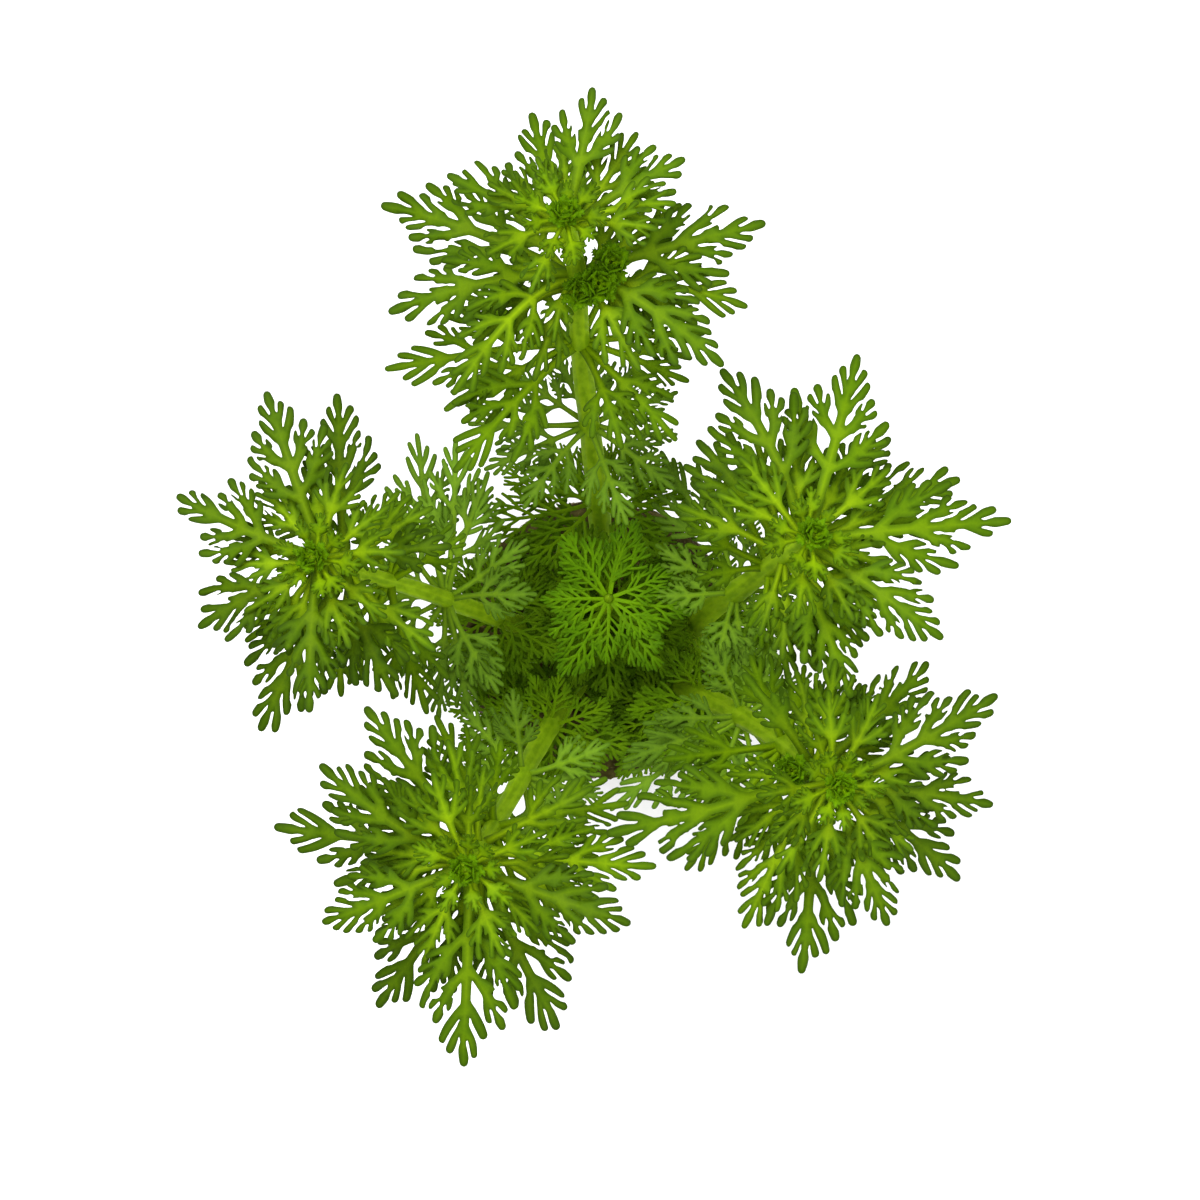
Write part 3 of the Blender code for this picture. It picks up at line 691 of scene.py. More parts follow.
def leaf_field(arms, blend, slit, cell):
    """How far each cell of a grid lies from the leaf's edge, with slits between arms that only pass."""
    points = np.concatenate([arm.points for arm in arms])
    low = points.min(0) - LEAF_MARGIN
    size = np.ceil((points.max(0) + LEAF_MARGIN - low) / cell).astype(int) + 1
    across, up = low[0] + np.arange(size[0]) * cell, low[1] + np.arange(size[1]) * cell
    own = np.full((len(arms), *size), FAR, np.float32)
    windows, shares = [], []
    for number, arm in enumerate(arms):
        room = arm.radii.max() + ARM_MARGIN
        i0, j0 = np.maximum(((arm.points.min(0) - room - low) / cell).astype(int), 0)
        i1, j1 = np.minimum(((arm.points.max(0) + room - low) / cell).astype(int) + 2, size)
        window = slice(i0, i1), slice(j0, j1)
        own[(number, *window)], along = arm_distances(across[i0:i1, None], up[None, j0:j1], arm)
        windows.append(window)
        shares.append(along)
    field = np.full(size, 1.0, np.float32)
    for number, (arm, window, along) in enumerate(zip(arms, windows, shares)):
        passing = [
            m for m, other in enumerate(arms)
            if m != number and other.parent != number and arm.parent != m
        ]
        equal = [m for m in passing if arms[m].level == arm.level]
        bigger = [m for m in passing if arms[m].level < arm.level]
        away = own[(number, *window)]
        free = np.clip((along - SLIT_FROM) / SLIT_OPENS_OVER, 0, 1)
        for others, gives_way in ((equal, 1), (bigger, 0)):
            if slit and others:
                nearest = np.min([own[(m, *window)] for m in others], axis=0)
                apart = nearest - gives_way * away
                away = np.maximum(away, np.where(free > 0, slit * free - apart, -FAR))
        before = field[window]
        share = np.clip(0.5 + 0.5 * (away - before) / blend, 0, 1)
        field[window] = away * (1 - share) + before * share - blend * share * (1 - share)
    return low, field


# Which sides of a grid cell the edge enters and leaves by, for each set of corners inside:
# 0 is the cell's lower side, 1 the right, 2 the upper and 3 the left
CELL_CROSSINGS = {
    1: ((0, 3),), 2: ((1, 0),), 3: ((1, 3),), 4: ((2, 1),), 5: ((2, 3), (0, 1)), 6: ((2, 0),),
    7: ((2, 3),), 8: ((3, 2),), 9: ((0, 2),), 10: ((3, 0), (1, 2)), 11: ((1, 2),), 12: ((3, 1),),
    13: ((0, 1),), 14: ((3, 0),),
}


def edge_loops(field):
    """The closed lines where the field is 0, in cells, with the leaf on their left."""
    inside = field < 0
    corners = inside[:-1, :-1] + 2 * inside[1:, :-1] + 4 * inside[1:, 1:] + 8 * inside[:-1, 1:]
    follow = {}
    for i, j in np.argwhere((corners > 0) & (corners < 15)).tolist():
        sides = (i, j, 0), (i + 1, j, 1), (i, j + 1, 0), (i, j, 1)
        for enter, leave in CELL_CROSSINGS[int(corners[i, j])]:
            follow[sides[enter]] = sides[leave]
    loops = []
    while follow:
        start, now = follow.popitem()
        chain = [start]
        while now != start:
            chain.append(now)
            now = follow.pop(now)
        i, j, upright = np.array(chain).T
        i2, j2 = i + 1 - upright, j + upright
        share = field[i, j] / (field[i, j] - field[i2, j2])
        loops.append(np.stack([i + (i2 - i) * share, j + (j2 - j) * share], 1))
    return loops


def enclosed(loop):
    """The area inside a loop, below 0 for a hole."""
    x, y = loop.T
    return (x @ np.roll(y, -1) - y @ np.roll(x, -1)) / 2


def thinned(loop, turn, length):
    """A smoothed loop with a point wherever it has turned or run far enough."""
    for _ in range(2):
        loop = (np.roll(loop, 1, 0) + loop * 2 + np.roll(loop, -1, 0)) / 4
    step = np.roll(loop, -1, 0) - loop
    course = np.arctan2(step[:, 1], step[:, 0])
    turned = np.abs((course - np.roll(course, 1) + math.pi) % math.tau - math.pi)
    passed = np.floor(np.cumsum(turned / turn + np.hypot(*step.T) / length))
    return loop[np.diff(passed, prepend=-1) > 0]


def sampled(field, places):
    """The field between its cells, at places counted in cells."""
    i, j = np.minimum(places.astype(int), np.array(field.shape) - 2).T
    u, v = (places - np.stack([i, j], 1)).T
    return (
        field[i, j] * (1 - u) * (1 - v) + field[i + 1, j] * u * (1 - v)
        + field[i, j + 1] * (1 - u) * v + field[i + 1, j + 1] * u * v
    )


def inside_loop(places, loop):
    """Which places lie inside a loop."""
    x, y = places[:, 0, None], places[:, 1, None]
    x1, y1 = loop.T
    x2, y2 = np.roll(loop, -1, 0).T
    crosses = ((y1 > y) != (y2 > y)) & (x < (x2 - x1) * (y - y1) / (y2 - y1 + 1e-12) + x1)
    return crosses.sum(1) % 2 == 1


# cell: the grid's step. turn, run: how far an edge turns or runs from point to point.
# ribs: the run between points on a rib. blend: how softly arms join. slit: the gap between passing ones.
# thickness, stalk_thickness: half of the blade's and of the stalk's. round_in: how far in an edge rounds.
Detail = namedtuple("Detail", "cell turn run ribs blend slit thickness stalk_thickness round_in")
CROWN_DETAIL = Detail(0.15, math.radians(20), 0.9, 0.8, 0.20, 0.38, 0.13, 0.42, 0.45)
LOWER_DETAIL = Detail(0.15, math.radians(26), 1.0, 0.9, 0.20, 0.34, 0.13, 0.38, 0.40)
NARROW_DETAIL = Detail(0.12, math.radians(28), 1.0, 0.9, 0.25, 0.24, 0.12, 0.24, 0.30)
GROUND_DETAIL = Detail(0.14, math.radians(32), 1.2, 1.2, 0.25, 0.24, 0.12, 0.24, 0.30)
BUD_DETAIL = Detail(0.10, math.radians(30), 0.8, 0.6, 0.20, 0.14, 0.16, 0.26, 0.35)

# Half the thickness at the edge, and the underside's roundness as a share of the upper side's
RIM_HALF = 0.045
UNDERSIDE = 0.8

# The share of a leaf's length over which it thins from stalk to blade
THICK_STALK = 0.55

# The area of the smallest hole that stays open, and how near two points count as one
SMALLEST_HOLE = 0.12
SAME_POINT = 1e-4

# Where a side rib's points start past its fork, and how far inside the edge they stay
RIB_CLEAR = 0.7
RIB_DEPTH = 0.35

# How much a midrib and a pinna's rib show at their foot and lose towards their end, and how much a lobe's
# shows; how dark the ends of stalk, pinnae and lobes are; and how softly ribs run into each other
MIDRIB, MIDRIB_FADE = 1, 0.7
PINNA_RIB, PINNA_RIB_FADE = 0.62, 0.40
LOBE_RIB = 0.18
END_SHARES = (0.15, 0.25, 1.0)
RIB_BLEND = 0.25

# Ranges of an arm's slope and curl out of the leaf's plane
ARM_SLOPES = (-0.15, 0.17)
ARM_CURLS = (-0.03, 0.02)

# A leaf's closed surface before it is laid out: places in its plane and heights over it
FlatLeaf = namedtuple("FlatLeaf", "places heights faces form length")


def rib_lines(arms, low, field, detail):
    """Lines of places along the leaf's ribs, clear of its edge and of each other at the forks."""
    lines = []
    for arm in arms:
        clear = 0 if arm.parent is None else RIB_CLEAR
        count = max(int((arm.length - clear) / detail.ribs), 1)
        shares = [s for s in np.linspace(clear / arm.length, 1, count + 1) if s <= 1]
        places = np.array([arm.at(share)[0] for share in shares]).reshape(-1, 2)
        deep = sampled(field, (places - low) / detail.cell) < -RIB_DEPTH * detail.round_in
        runs = np.split(np.arange(len(places)), np.nonzero(~deep)[0])
        for run in runs:
            run = run[deep[run]]
            if len(run):
                lines.append(places[run])
    return lines


THREAD_SIDES = 5
THREAD_FLATNESS = 0.62
THREAD_WIDTH = 0.54

# A thread's rounded end: its thickness and how far it stands out, as shares of the thread's radius
THREAD_END_WIDTH = 0.55
THREAD_END_REACH = 0.6

# How deep inside its edge a thread counts as for painted margin shade, and how much its rib shows, by the
# arm's level
THREAD_INWARD = 0.8
THREAD_RIBS = (0.9, 0.35, 0.35)


def thread_leaf(length, rng):
    """A leaf of slender, slightly flattened tubes."""
    arms = thread_arms(length, rng, THREAD_WIDTH)
    shape_rises(arms, rng)
    places, heights, faces, forms, count = [], [], [], [], 0
    angles = (np.arange(THREAD_SIDES) * math.tau / THREAD_SIDES)[None, :]
    for arm in arms:
        course = unit(np.gradient(arm.points, axis=0))
        radii = np.append(arm.radii, arm.radii[-1] * THREAD_END_WIDTH)[:, None]
        end = arm.points[-1] + course[-1] * arm.radii[-1] * THREAD_END_REACH
        middle = np.concatenate([arm.points, [end]])[:, None]
        course = np.concatenate([course, course[-1:]])[:, None]
        across = np.stack([-course[..., 1], course[..., 0]], 2)
        share = np.append(np.linspace(0, 1, ARC_STEPS + 1), 1.0)[:, None]
        places.append((middle + across * (radii * np.cos(angles))[..., None]).reshape(-1, 2))
        rise = rise_along(arm, arm.start_rise, share)
        heights.append((rise + radii * THREAD_FLATNESS * np.sin(angles)).ravel())
        rib = THREAD_RIBS[arm.level] * (1 - share)
        form = np.concatenate([0 * share + THREAD_INWARD, rib, share * min(arm.level, 1), 0 * share], 1)
        forms.append(np.repeat(form, THREAD_SIDES, axis=0))
        faces.append(tube_faces(len(radii), THREAD_SIDES) + count)
        count += len(places[-1])
    return FlatLeaf(*(np.concatenate(part) for part in (places, heights, faces, forms)), length)


def tube_faces(rings, sides):
    """Triangles over rings of points, with a flat end on either side."""
    low = np.arange((rings - 1) * sides)
    after = low - low % sides + (low + 1) % sides
    quads = np.stack([low, after, after + sides, low + sides], 1)
    fan = np.stack([np.zeros(sides - 2, int), np.arange(1, sides - 1), np.arange(2, sides)], 1)
    return np.concatenate([
        quads[:, [0, 1, 2]], quads[:, [0, 2, 3]], fan[:, ::-1], fan + (rings - 1) * sides,
    ])


def shape_rises(arms, rng):
    """Lets each arm rise or sink a little out of the leaf's plane, from where its parent has come to."""
    for arm in arms:
        arm.slope = 0 if arm.level == 0 else rng.uniform(*ARM_SLOPES)
        arm.curl = 0 if arm.level == 0 else rng.uniform(*ARM_CURLS)
        arm.start_rise = 0
        if arm.parent is not None:
            parent = arms[arm.parent]
            arm.start_rise = rise_along(parent, parent.start_rise, arm_distances(*arm.points[0], parent)[1])


def rise_along(arm, start, share):
    """How far an arm has risen out of the leaf's plane at a share of its length."""
    run = share * arm.length
    return start + arm.slope * run + arm.curl * run**2


def flat_leaf(arms, length, detail, rng):
    """A leaf's two faces, which meet along its lobed edge."""
    low, field = leaf_field(arms, detail.blend, detail.slit, detail.cell)
    loops = [loop * detail.cell + low for loop in edge_loops(field)]
    edge = thinned(max(loops, key=enclosed), detail.turn, detail.run)
    holes = [thinned(loop, detail.turn, detail.run) for loop in loops if enclosed(loop) < -SMALLEST_HOLE]
    holes = [hole for hole in holes if len(hole) > 3 and inside_loop(hole[:1], edge)[0]]
    coords, lines = list(edge), []
    for hole in holes:
        first = len(coords)
        lines += [(first + k, first + (k + 1) % len(hole)) for k in range(len(hole))]
        coords += list(hole)
    for line in rib_lines(arms, low, field, detail):
        first = len(coords)
        lines += [(first + k, first + k + 1) for k in range(len(line) - 1)]
        coords += list(line)
    flat, _, faces = delaunay_2d_cdt(
        [Vector(c) for c in coords], lines, [list(range(len(edge)))], 1, SAME_POINT
    )[:3]
    places, triangles = np.array(flat), np.array(faces)
    for hole in holes:
        triangles = triangles[~inside_loop(places[triangles].mean(1), hole)]
    sides = np.concatenate([triangles[:, [0, 1]], triangles[:, [1, 2]], triangles[:, [2, 0]]])
    known = set(map(tuple, sides.tolist()))
    open_sides = np.array([(a, b) for a, b in known if (b, a) not in known])
    rim = np.zeros(len(places), bool)
    rim[open_sides[:, 0]] = True
    depth = np.where(rim, 0, -sampled(field, (places - low) / detail.cell))
    inward = np.clip(depth / detail.round_in, 0, 1)
    lift, ribs, ends = relief(arms, places, rng)
    stalk = np.clip(1 - places[:, 0] / length / THICK_STALK, 0, 1)
    half = detail.thickness + (detail.stalk_thickness - detail.thickness) * stalk
    bulge = RIM_HALF + (half - RIM_HALF) * np.sqrt(1 - (1 - inward) ** 2)
    form = np.stack([inward, ribs, ends, 0 * ends], 1)
    count = len(places)
    first, second = open_sides.T
    wall = np.stack([second, first, first + count, second, first + count, second + count], 1)
    return FlatLeaf(
        np.tile(places, (2, 1)), np.concatenate([lift + bulge, lift - bulge * UNDERSIDE]),
        np.concatenate([triangles, triangles[:, ::-1] + count, wall.reshape(-1, 3)]),
        np.tile(form, (2, 1)), length,
    )


def relief(arms, places, rng):
    """For each place: its rise out of the plane, and how near it is to a main rib and to a lobe's end."""
    away, along = np.stack(
        [np.stack(arm_distances(places[:, 0], places[:, 1], arm)) for arm in arms], axis=2
    )
    weight = np.exp(-(away - away.min(1, keepdims=True)) / RIB_BLEND)
    weight /= weight.sum(1, keepdims=True)
    shape_rises(arms, rng)
    rises = [rise_along(arm, arm.start_rise, along[:, k]) for k, arm in enumerate(arms)]
    levels = np.array([arm.level for arm in arms])
    side_ribs = np.where(levels == 1, PINNA_RIB - PINNA_RIB_FADE * along, LOBE_RIB)
    ribs = np.where(levels == 0, MIDRIB - MIDRIB_FADE * along**2, side_ribs)
    ends = along * np.array(END_SHARES)[levels]
    return [(weight * part).sum(1) for part in (np.stack(rises, 1), ribs, ends)]


# Meshes

SHARP_EDGE = math.radians(75)


class Heap:
    """Points, faces and forms gathered for one joined mesh."""

    def __init__(self):
        self.points, self.faces, self.forms, self.count = [], [], [], 0

    def add(self, points, faces, forms):
        self.points.append(points)
        self.faces.append(np.asarray(faces) + self.count)
        self.forms.append(forms)
        self.count += len(points)

    def piece(self, name, finish, slot, *nodes):
        """One shown piece on the plant's body, standing for the named solids."""
        mesh = bpy.data.meshes.new(name)
        points = np.concatenate(self.points) * MM
        mesh.from_pydata(points.tolist(), [], np.concatenate(self.faces).tolist())
        form = mesh.attributes.new("form", "FLOAT_COLOR", "POINT")
        form.data.foreach_set("color", np.concatenate(self.forms).astype(np.float32).ravel())
        mesh.materials.append(finish)
        mesh.shade_smooth()
        mesh.set_sharp_from_angle(angle=SHARP_EDGE)
        made = bpy.data.objects.new(name, mesh)
        bpy.context.scene.collection.objects.link(made)
        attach(made, "root")
        if nodes:
            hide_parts(*nodes)


def lay_leaf(heap, flat, foot, start, tip, tone, cup, twist=0.0, wave=0.0, side=None):
    """Lays a flat leaf along an arched midrib and adds it to a heap."""
    foot, start, tip = (np.array(v) for v in (foot, start, tip))
    middle = foot + start * flat.length * LEAF_ARCH
    share = np.clip(flat.places[:, 0] / flat.length, 0, None)[:, None]
    across = flat.places[:, 1, None]
    centre = foot * (1 - share) ** 2 + middle * 2 * share * (1 - share) + tip * share**2
    course = unit((middle - foot) * (1 - share) + (tip - middle) * share)
    side = unit(np.cross(np.array(UP), course)) if side is None else np.array(side)
    normal = unit(np.cross(course, side))
    turn = twist * share**1.5
    side, normal = side * np.cos(turn) + normal * np.sin(turn), normal * np.cos(turn) - side * np.sin(turn)
    height = flat.heights[:, None] + cup * across**2 + wave * np.sin(share * 9 + tone * 6) * share
    form = flat.form.copy()
    form[:, 3] = tone
    heap.add(centre + side * across + normal * height, flat.faces, form)


# Stems

def smooth_route(route, rings):
    """Points of a smooth curve through the route's own points."""
    knots = [Vector(point) for point in route]
    slopes = [knots[min(i + 1, len(knots) - 1)] - knots[max(i - 1, 0)] for i in range(len(knots))]
    line = [knots[0]]
    for i in range(len(knots) - 1):
        start, end = knots[i], knots[i + 1]
        share = (end - start).length / 3
        handles = start + slopes[i].normalized() * share, end - slopes[i + 1].normalized() * share
        line += interpolate_bezier(start, *handles, end, rings + 1)[1:]
    return line


def at_height(line, height):
    """The point and the direction of a stem's axis where it passes a height."""
    for start, end in zip(line, line[1:]):
        if start.z <= height <= end.z:
            share = (height - start.z) / (end.z - start.z)
            return start.lerp(end, share), (end - start).normalized()
    return line[-1], (line[-1] - line[-2]).normalized()


def stem_radius(line, height, foot, tip):
    """A stem's radius at a height, from its foot's to its tip's."""
    share = (height - line[0].z) / (line[-1].z - line[0].z)
    return foot + (tip - foot) * min(max(share, 0), 1)


def level(bearing, length=1.0):
    """A level step of a length in the direction of a bearing."""
    angle = math.radians(bearing)
    return Vector((math.cos(angle) * length, math.sin(angle) * length, 0))


def square_to(axis, bearing):
    """The direction at a right angle to a stem's axis that comes nearest to a bearing."""
    outward = level(bearing)
    return (outward - axis * outward.dot(axis)).normalized()


def bearings(count, play, rng, first=0):
    """Bearings all round a stem, each a little off its even place."""
    for k in range(count):
        yield 360 * k / count + first + rng.uniform(-play, play)


STEM_RINGS = 12
STEM_SIDES = 24
STEM_RIBS = 7
STEM_RIB_HEIGHT = 0.035
STEM_UNEVEN = 0.03

# How much thicker a stem is at a node, and how far up and down that reaches
NODE_SWELLING = 0.05
NODE_REACH = 1.3

# The rings of points over which a stem's end is rounded, and what is left of its radius there
END_RINGS = 4
END_LEFT = 0.04

# Painted light on a stem: how light a side is that faces neither up nor down, how fast sides facing up get
# lighter and those facing down darker, and how much the stem's own seeded tone counts
PAINTED_SIDE_LIGHT = 0.5
PAINTED_LIGHT_SLOPE = 2.2
OWN_TONE = 0.3


def add_stem(heap, line, foot, tip, nodes, tone, pale=1.0):
    """A ribbed stem with a swollen ring at each node and a rounded end."""
    sides = np.arange(STEM_SIDES) * math.tau / STEM_SIDES
    rib = np.cos(STEM_RIBS * sides)
    ones = np.ones(STEM_SIDES)
    last = len(line) - 1
    points, forms = [], []
    for i, centre in enumerate(line):
        along = (line[min(i + 1, last)] - line[max(i - 1, 0)]).normalized()
        across = along.cross(Vector((1, 0, 0))).normalized()
        beside = along.cross(across)
        near = max([math.exp(-((centre.z - node) / NODE_REACH) ** 2) for node in nodes] + [0])
        radius = stem_radius(line, centre.z, foot, tip) * (1 + NODE_SWELLING * near)
        radius *= 1 + STEM_UNEVEN * math.sin(centre.z * 0.5 + tone * 9)
        left = (last - i) / END_RINGS
        if left < 1:
            radius *= math.sqrt(1 - (1 - left) ** 2) * (1 - END_LEFT) + END_LEFT
        out = radius * (1 + STEM_RIB_HEIGHT * rib * (1 - near))
        points.append(np.array(centre) + out[:, None] * (
            np.cos(sides)[:, None] * np.array(across) + np.sin(sides)[:, None] * np.array(beside)
        ))
        # Painted light: sides that face up are coloured lighter, those that face down darker
        facing = np.cos(sides) * across.z + np.sin(sides) * beside.z
        upper = np.clip(PAINTED_SIDE_LIGHT + PAINTED_LIGHT_SLOPE * facing, 0, 1) * pale
        light = upper + tone * OWN_TONE
        forms.append(np.stack([rib * 0.5 + 0.5, near * ones, i / last * ones, light], 1))
    heap.add(np.concatenate(points), tube_faces(len(line), STEM_SIDES), np.concatenate(forms))


# Shoots

# Where leaves start, from the stem's axis: as a share of the stem's radius, or a distance on a lower whorl
CROWN_LEAF_FOOT = 0.55
RING_LEAF_FOOT = 0.8
RING_START_LIFT = 0.1

# A lower whorl's leaves by kind: spread of the pinnae, width of the lobes, pairs of pinnae and detail
RING_KINDS = {
    "divided": (1.1, 1.12, None, LOWER_DETAIL),
    "narrow": (1.15, 0.92, 2, NARROW_DETAIL),
    "ground": (1.2, 0.85, 1, GROUND_DETAIL),
}


def lay_crown_leaf(heap, line, lean, height, rise, bearing, reach, rng, detail, spread, wide, tone):
    """One leaf of a crown, along the same midrib as its solid."""
    node, axis = at_height(line, height)
    radial = square_to(axis, bearing)
    start = (radial + axis * LEAF_START_LIFT).normalized()
    radius = stem_radius(line, height, STEM_FOOT_RADIUS, STEM_TIP_RADIUS)
    foot = node + radial * radius * CROWN_LEAF_FOOT
    offset = level(bearing, reach)
    tip = node + offset + UP * (rise - CROWN_TILT * offset.dot(lean))
    length = (tip - foot).length * MIDRIB_SLACK
    flat = flat_leaf(divided_leaf(length, rng, spread, wide), length, detail, rng)
    lay_leaf(
        heap, flat, foot, start, tip, tone,
        twist=rng.uniform(-0.25, 0.25), cup=rng.uniform(-0.015, 0.035), wave=rng.uniform(-0.3, 0.3),
    )


def lay_ring_leaf(heap, line, lean, height, bearing, reach, rng, kind, tone, tilt=CROWN_TILT):
    """One leaf of a lower whorl, on the curve of its solid ring."""
    node, axis = at_height(line, height)
    outward = level(bearing)
    offset = level(bearing, reach)
    rise = RING_RISE * reach - RING_DROOP * reach**2 - tilt * offset.dot(lean)
    tip = node + offset + UP * rise
    start = (outward + UP * (RING_RISE + RING_START_LIFT - tilt * outward.dot(lean))).normalized()
    foot = node + outward * RING_LEAF_FOOT
    length = (tip - foot).length * MIDRIB_SLACK
    if kind == "thread":
        flat = thread_leaf(length, rng)
    else:
        *division, detail = RING_KINDS[kind]
        flat = flat_leaf(divided_leaf(length, rng, *division), length, detail, rng)
    lay_leaf(
        heap, flat, foot, start, tip, tone,
        twist=rng.uniform(-0.5, 0.5), cup=rng.uniform(-0.02, 0.04), wave=rng.uniform(-0.5, 0.5),
    )


# The widest gap in a whorl that stays open, a filling leaf's share of its neighbours' joined reach, and the
# bearings left free over the stem below, which is looked for so far down
WIDEST_GAP = 38
FILLING_REACH = 0.44
FREE_OVER_STEM = 20
LOOK_DOWN = 12


def with_gaps_filled(leaves, down):
    """A whorl's leaves, with more where neighbours stand far apart, but none over the stem below."""
    ordered = sorted(leaves)
    filled = list(ordered)
    for (bearing, reach), (after, next_reach) in zip(ordered, ordered[1:] + ordered[:1]):
        gap = (after - bearing) % 360
        extra = int(gap // WIDEST_GAP)
        for k in range(extra):
            share = (k + 1) / (extra + 1)
            between = (bearing + gap * share) % 360
            if abs((between - down + 180) % 360 - 180) > FREE_OVER_STEM:
                filled.append((between, (reach + next_reach) * FILLING_REACH))
    return filled


def downhill(line, height):
    """The bearing from a whorl to the stem a little below it."""
    way = at_height(line, height - LOOK_DOWN)[0] - at_height(line, height)[0]
    return math.degrees(math.atan2(way.y, way.x))


# A bud's rings of young leaves, as (leaves, reach outwards, rise, distance below the tip)
BUD_RINGS = ((7, 0.75, 0.55, 1.6), (6, 0.55, 0.75, 0.9), (5, 0.32, 0.80, 0.3), (3, 0.12, 0.7, 0.0))
BUD_SIZE = 3.0
BUD_LEAF_FOOT = 0.4
BUD_LEAF_SLACK = 1.05
BUD_LEAF_CUP = 0.06

# How a side bud's short stem tapers, and how many points it has
TUFT_STEM_RADII = (0.55, 0.45)
TUFT_STEM_POINTS = 9


def add_bud(heap, line, rng, size):
    """The tuft of young leaves that closes round a growing tip."""
    tip, axis = line[-1], (line[-1] - line[-3]).normalized()
    for ring, (count, reach, rise, back) in enumerate(BUD_RINGS):
        for k in range(count):
            bearing = 360 * (k + 0.5 * ring) / count + rng.uniform(-8, 8)
            radial = square_to(axis, bearing)
            foot = tip - axis * back + radial * BUD_LEAF_FOOT
            end = foot + (radial * reach + axis * rise) * size * rng.uniform(0.85, 1.1)
            start = (radial * 0.9 + axis * 0.6).normalized()
            length = (end - foot).length * BUD_LEAF_SLACK
            flat = flat_leaf(divided_leaf(length, rng, 1.25, 1.25, 1), length, BUD_DETAIL, rng)
            side = axis.cross(radial).normalized()
            lay_leaf(heap, flat, foot, start, end, rng.random(), BUD_LEAF_CUP, side=side)


# The ring of small leaves round a bud
YOUNG_LEAVES = 9
YOUNG_LEAF_RISE = 3.4
YOUNG_LEAF_REACHES = (4.8, 8.2)
YOUNG_RING_OVER_WHORL = 1.5

# How wide the lobes of the single, inner and young leaves are
CROWN_WIDTH = 1.42
INNER_WIDTH = 1.15
YOUNG_WIDTH = 0.95

# How far a crown leaf reaches, as a share of its solid's reach
TIP_PAST_SOLID = 1.03

# Inner leaves start below the single ones, in turns of two levels, and end lower
INNER_LEAF_DROP = 0.6
INNER_TIP_DROP = 1.0

# The lowest leaves of a stem, hidden among the others: whorls by height and reach
GROUND_RINGS = ((41, 15.5), (33, 13.0))
GROUND_LEAVES = 9

# The whorls under the crown, each with its kind of leaf, and how many of them are solids too
FIRST_LOWER_WHORL = 2
LOWER_KINDS = ("divided", "narrow", "thread")
LOWER_SOLIDS = 2

# Seeds: a shoot's stem and tip, its leaves, and what is added for inner leaves, lower whorls, young leaves
# and ground leaves
TIP_SEED = 100
LEAF_SEED = 1000
INNER_SEED, WHORL_SEED, YOUNG_SEED, GROUND_SEED = 100, 200, 300, 400


def build_shoot(number, side, shoot, finishes):
    """One outer shoot: its stem and bud, crown leaves and lower whorls."""
    line = smooth_route(shoot.route, STEM_RINGS)
    lean = Vector((line[-1].x - line[0].x, line[-1].y - line[0].y, 0)).normalized()
    build_tip(number, side, shoot, line, lean, finishes)
    build_crown(number, side, shoot, line, lean, finishes)
    build_lower_whorls(number, side, shoot, line, lean, finishes)


def build_tip(number, side, shoot, line, lean, finishes):
    """The stem with its growing tip, side buds and young leaves."""
    rng = random.Random(TIP_SEED * number)
    stem, bud, young = Heap(), Heap(), Heap()
    foot, tip = STEM_FOOT_RADIUS * (1 + shoot.stout) / 2, STEM_TIP_RADIUS * shoot.stout
    add_stem(stem, line, foot, tip, shoot.heights, rng.random(), shoot.pale)
    add_bud(bud, line, rng, BUD_SIZE)
    node = at_height(line, shoot.heights[1])[0]
    for bearing, size, out, rise in shoot.tufts:
        side_stem = [
            node + level(bearing, out * (1 - (1 - share) ** 2)) + UP * rise * share**2
            for share in np.linspace(0, 1, TUFT_STEM_POINTS)
        ]
        add_stem(stem, side_stem, *TUFT_STEM_RADII, (), 0.5)
        add_bud(bud, side_stem, rng, size)
    for count in range(YOUNG_LEAVES):
        own = random.Random(LEAF_SEED * number + YOUNG_SEED + count)
        bearing = 360 * count / YOUNG_LEAVES + own.uniform(-12, 12)
        lay_crown_leaf(
            young, line, lean, shoot.heights[0] + YOUNG_RING_OVER_WHORL, YOUNG_LEAF_RISE, bearing,
            own.uniform(*YOUNG_LEAF_REACHES), own, BUD_DETAIL, own.uniform(0.8, 1.0), YOUNG_WIDTH,
            own.random(),
        )
    stem.piece(side + "_stem_ribbed", finishes["stem"], "stem", side + "_stem")
    bud.piece(side + "_bud", finishes["bud"], "crown_leaf")
    young.piece(side + "_young_leaves", finishes["young"], "crown_leaf")


def build_crown(number, side, shoot, line, lean, finishes):
    """The single leaves of the two top whorls, one piece for each solid, and the inner leaves."""
    singles = [(0, *leaf) for leaf in shoot.upper] + [(1, *leaf) for leaf in shoot.second]
    for count, (whorl, bearing, reach, spread) in enumerate(singles, 1):
        leaf = Heap()
        step = LEVEL_STEP * (count % 2)
        own = random.Random(LEAF_SEED * number + count)
        lay_crown_leaf(
            leaf, line, lean, shoot.heights[whorl] - step, CROWN_RISE[whorl] - step, bearing,
            reach * TIP_PAST_SOLID, own, CROWN_DETAIL, spread, CROWN_WIDTH,
            own.random() + shoot.leaf_tone,
        )
        leaf.piece(f"{side}_lobed_leaf_{count}", finishes["crown"], "crown_leaf", f"{side}_leaf_{count}")
    inner = Heap()
    for count, (whorl, bearing, reach) in enumerate(shoot.inner, 1):
        own = random.Random(LEAF_SEED * number + INNER_SEED + count)
        step = INNER_LEAF_DROP + LEVEL_STEP * (count % 2)
        lay_crown_leaf(
            inner, line, lean, shoot.heights[whorl] - step, CROWN_RISE[whorl] - step - INNER_TIP_DROP,
            bearing, reach, own, LOWER_DETAIL, own.uniform(0.85, 1.15), INNER_WIDTH, own.random() * 0.9,
        )
    inner.piece(side + "_inner_leaves", finishes["inner"], "crown_leaf")


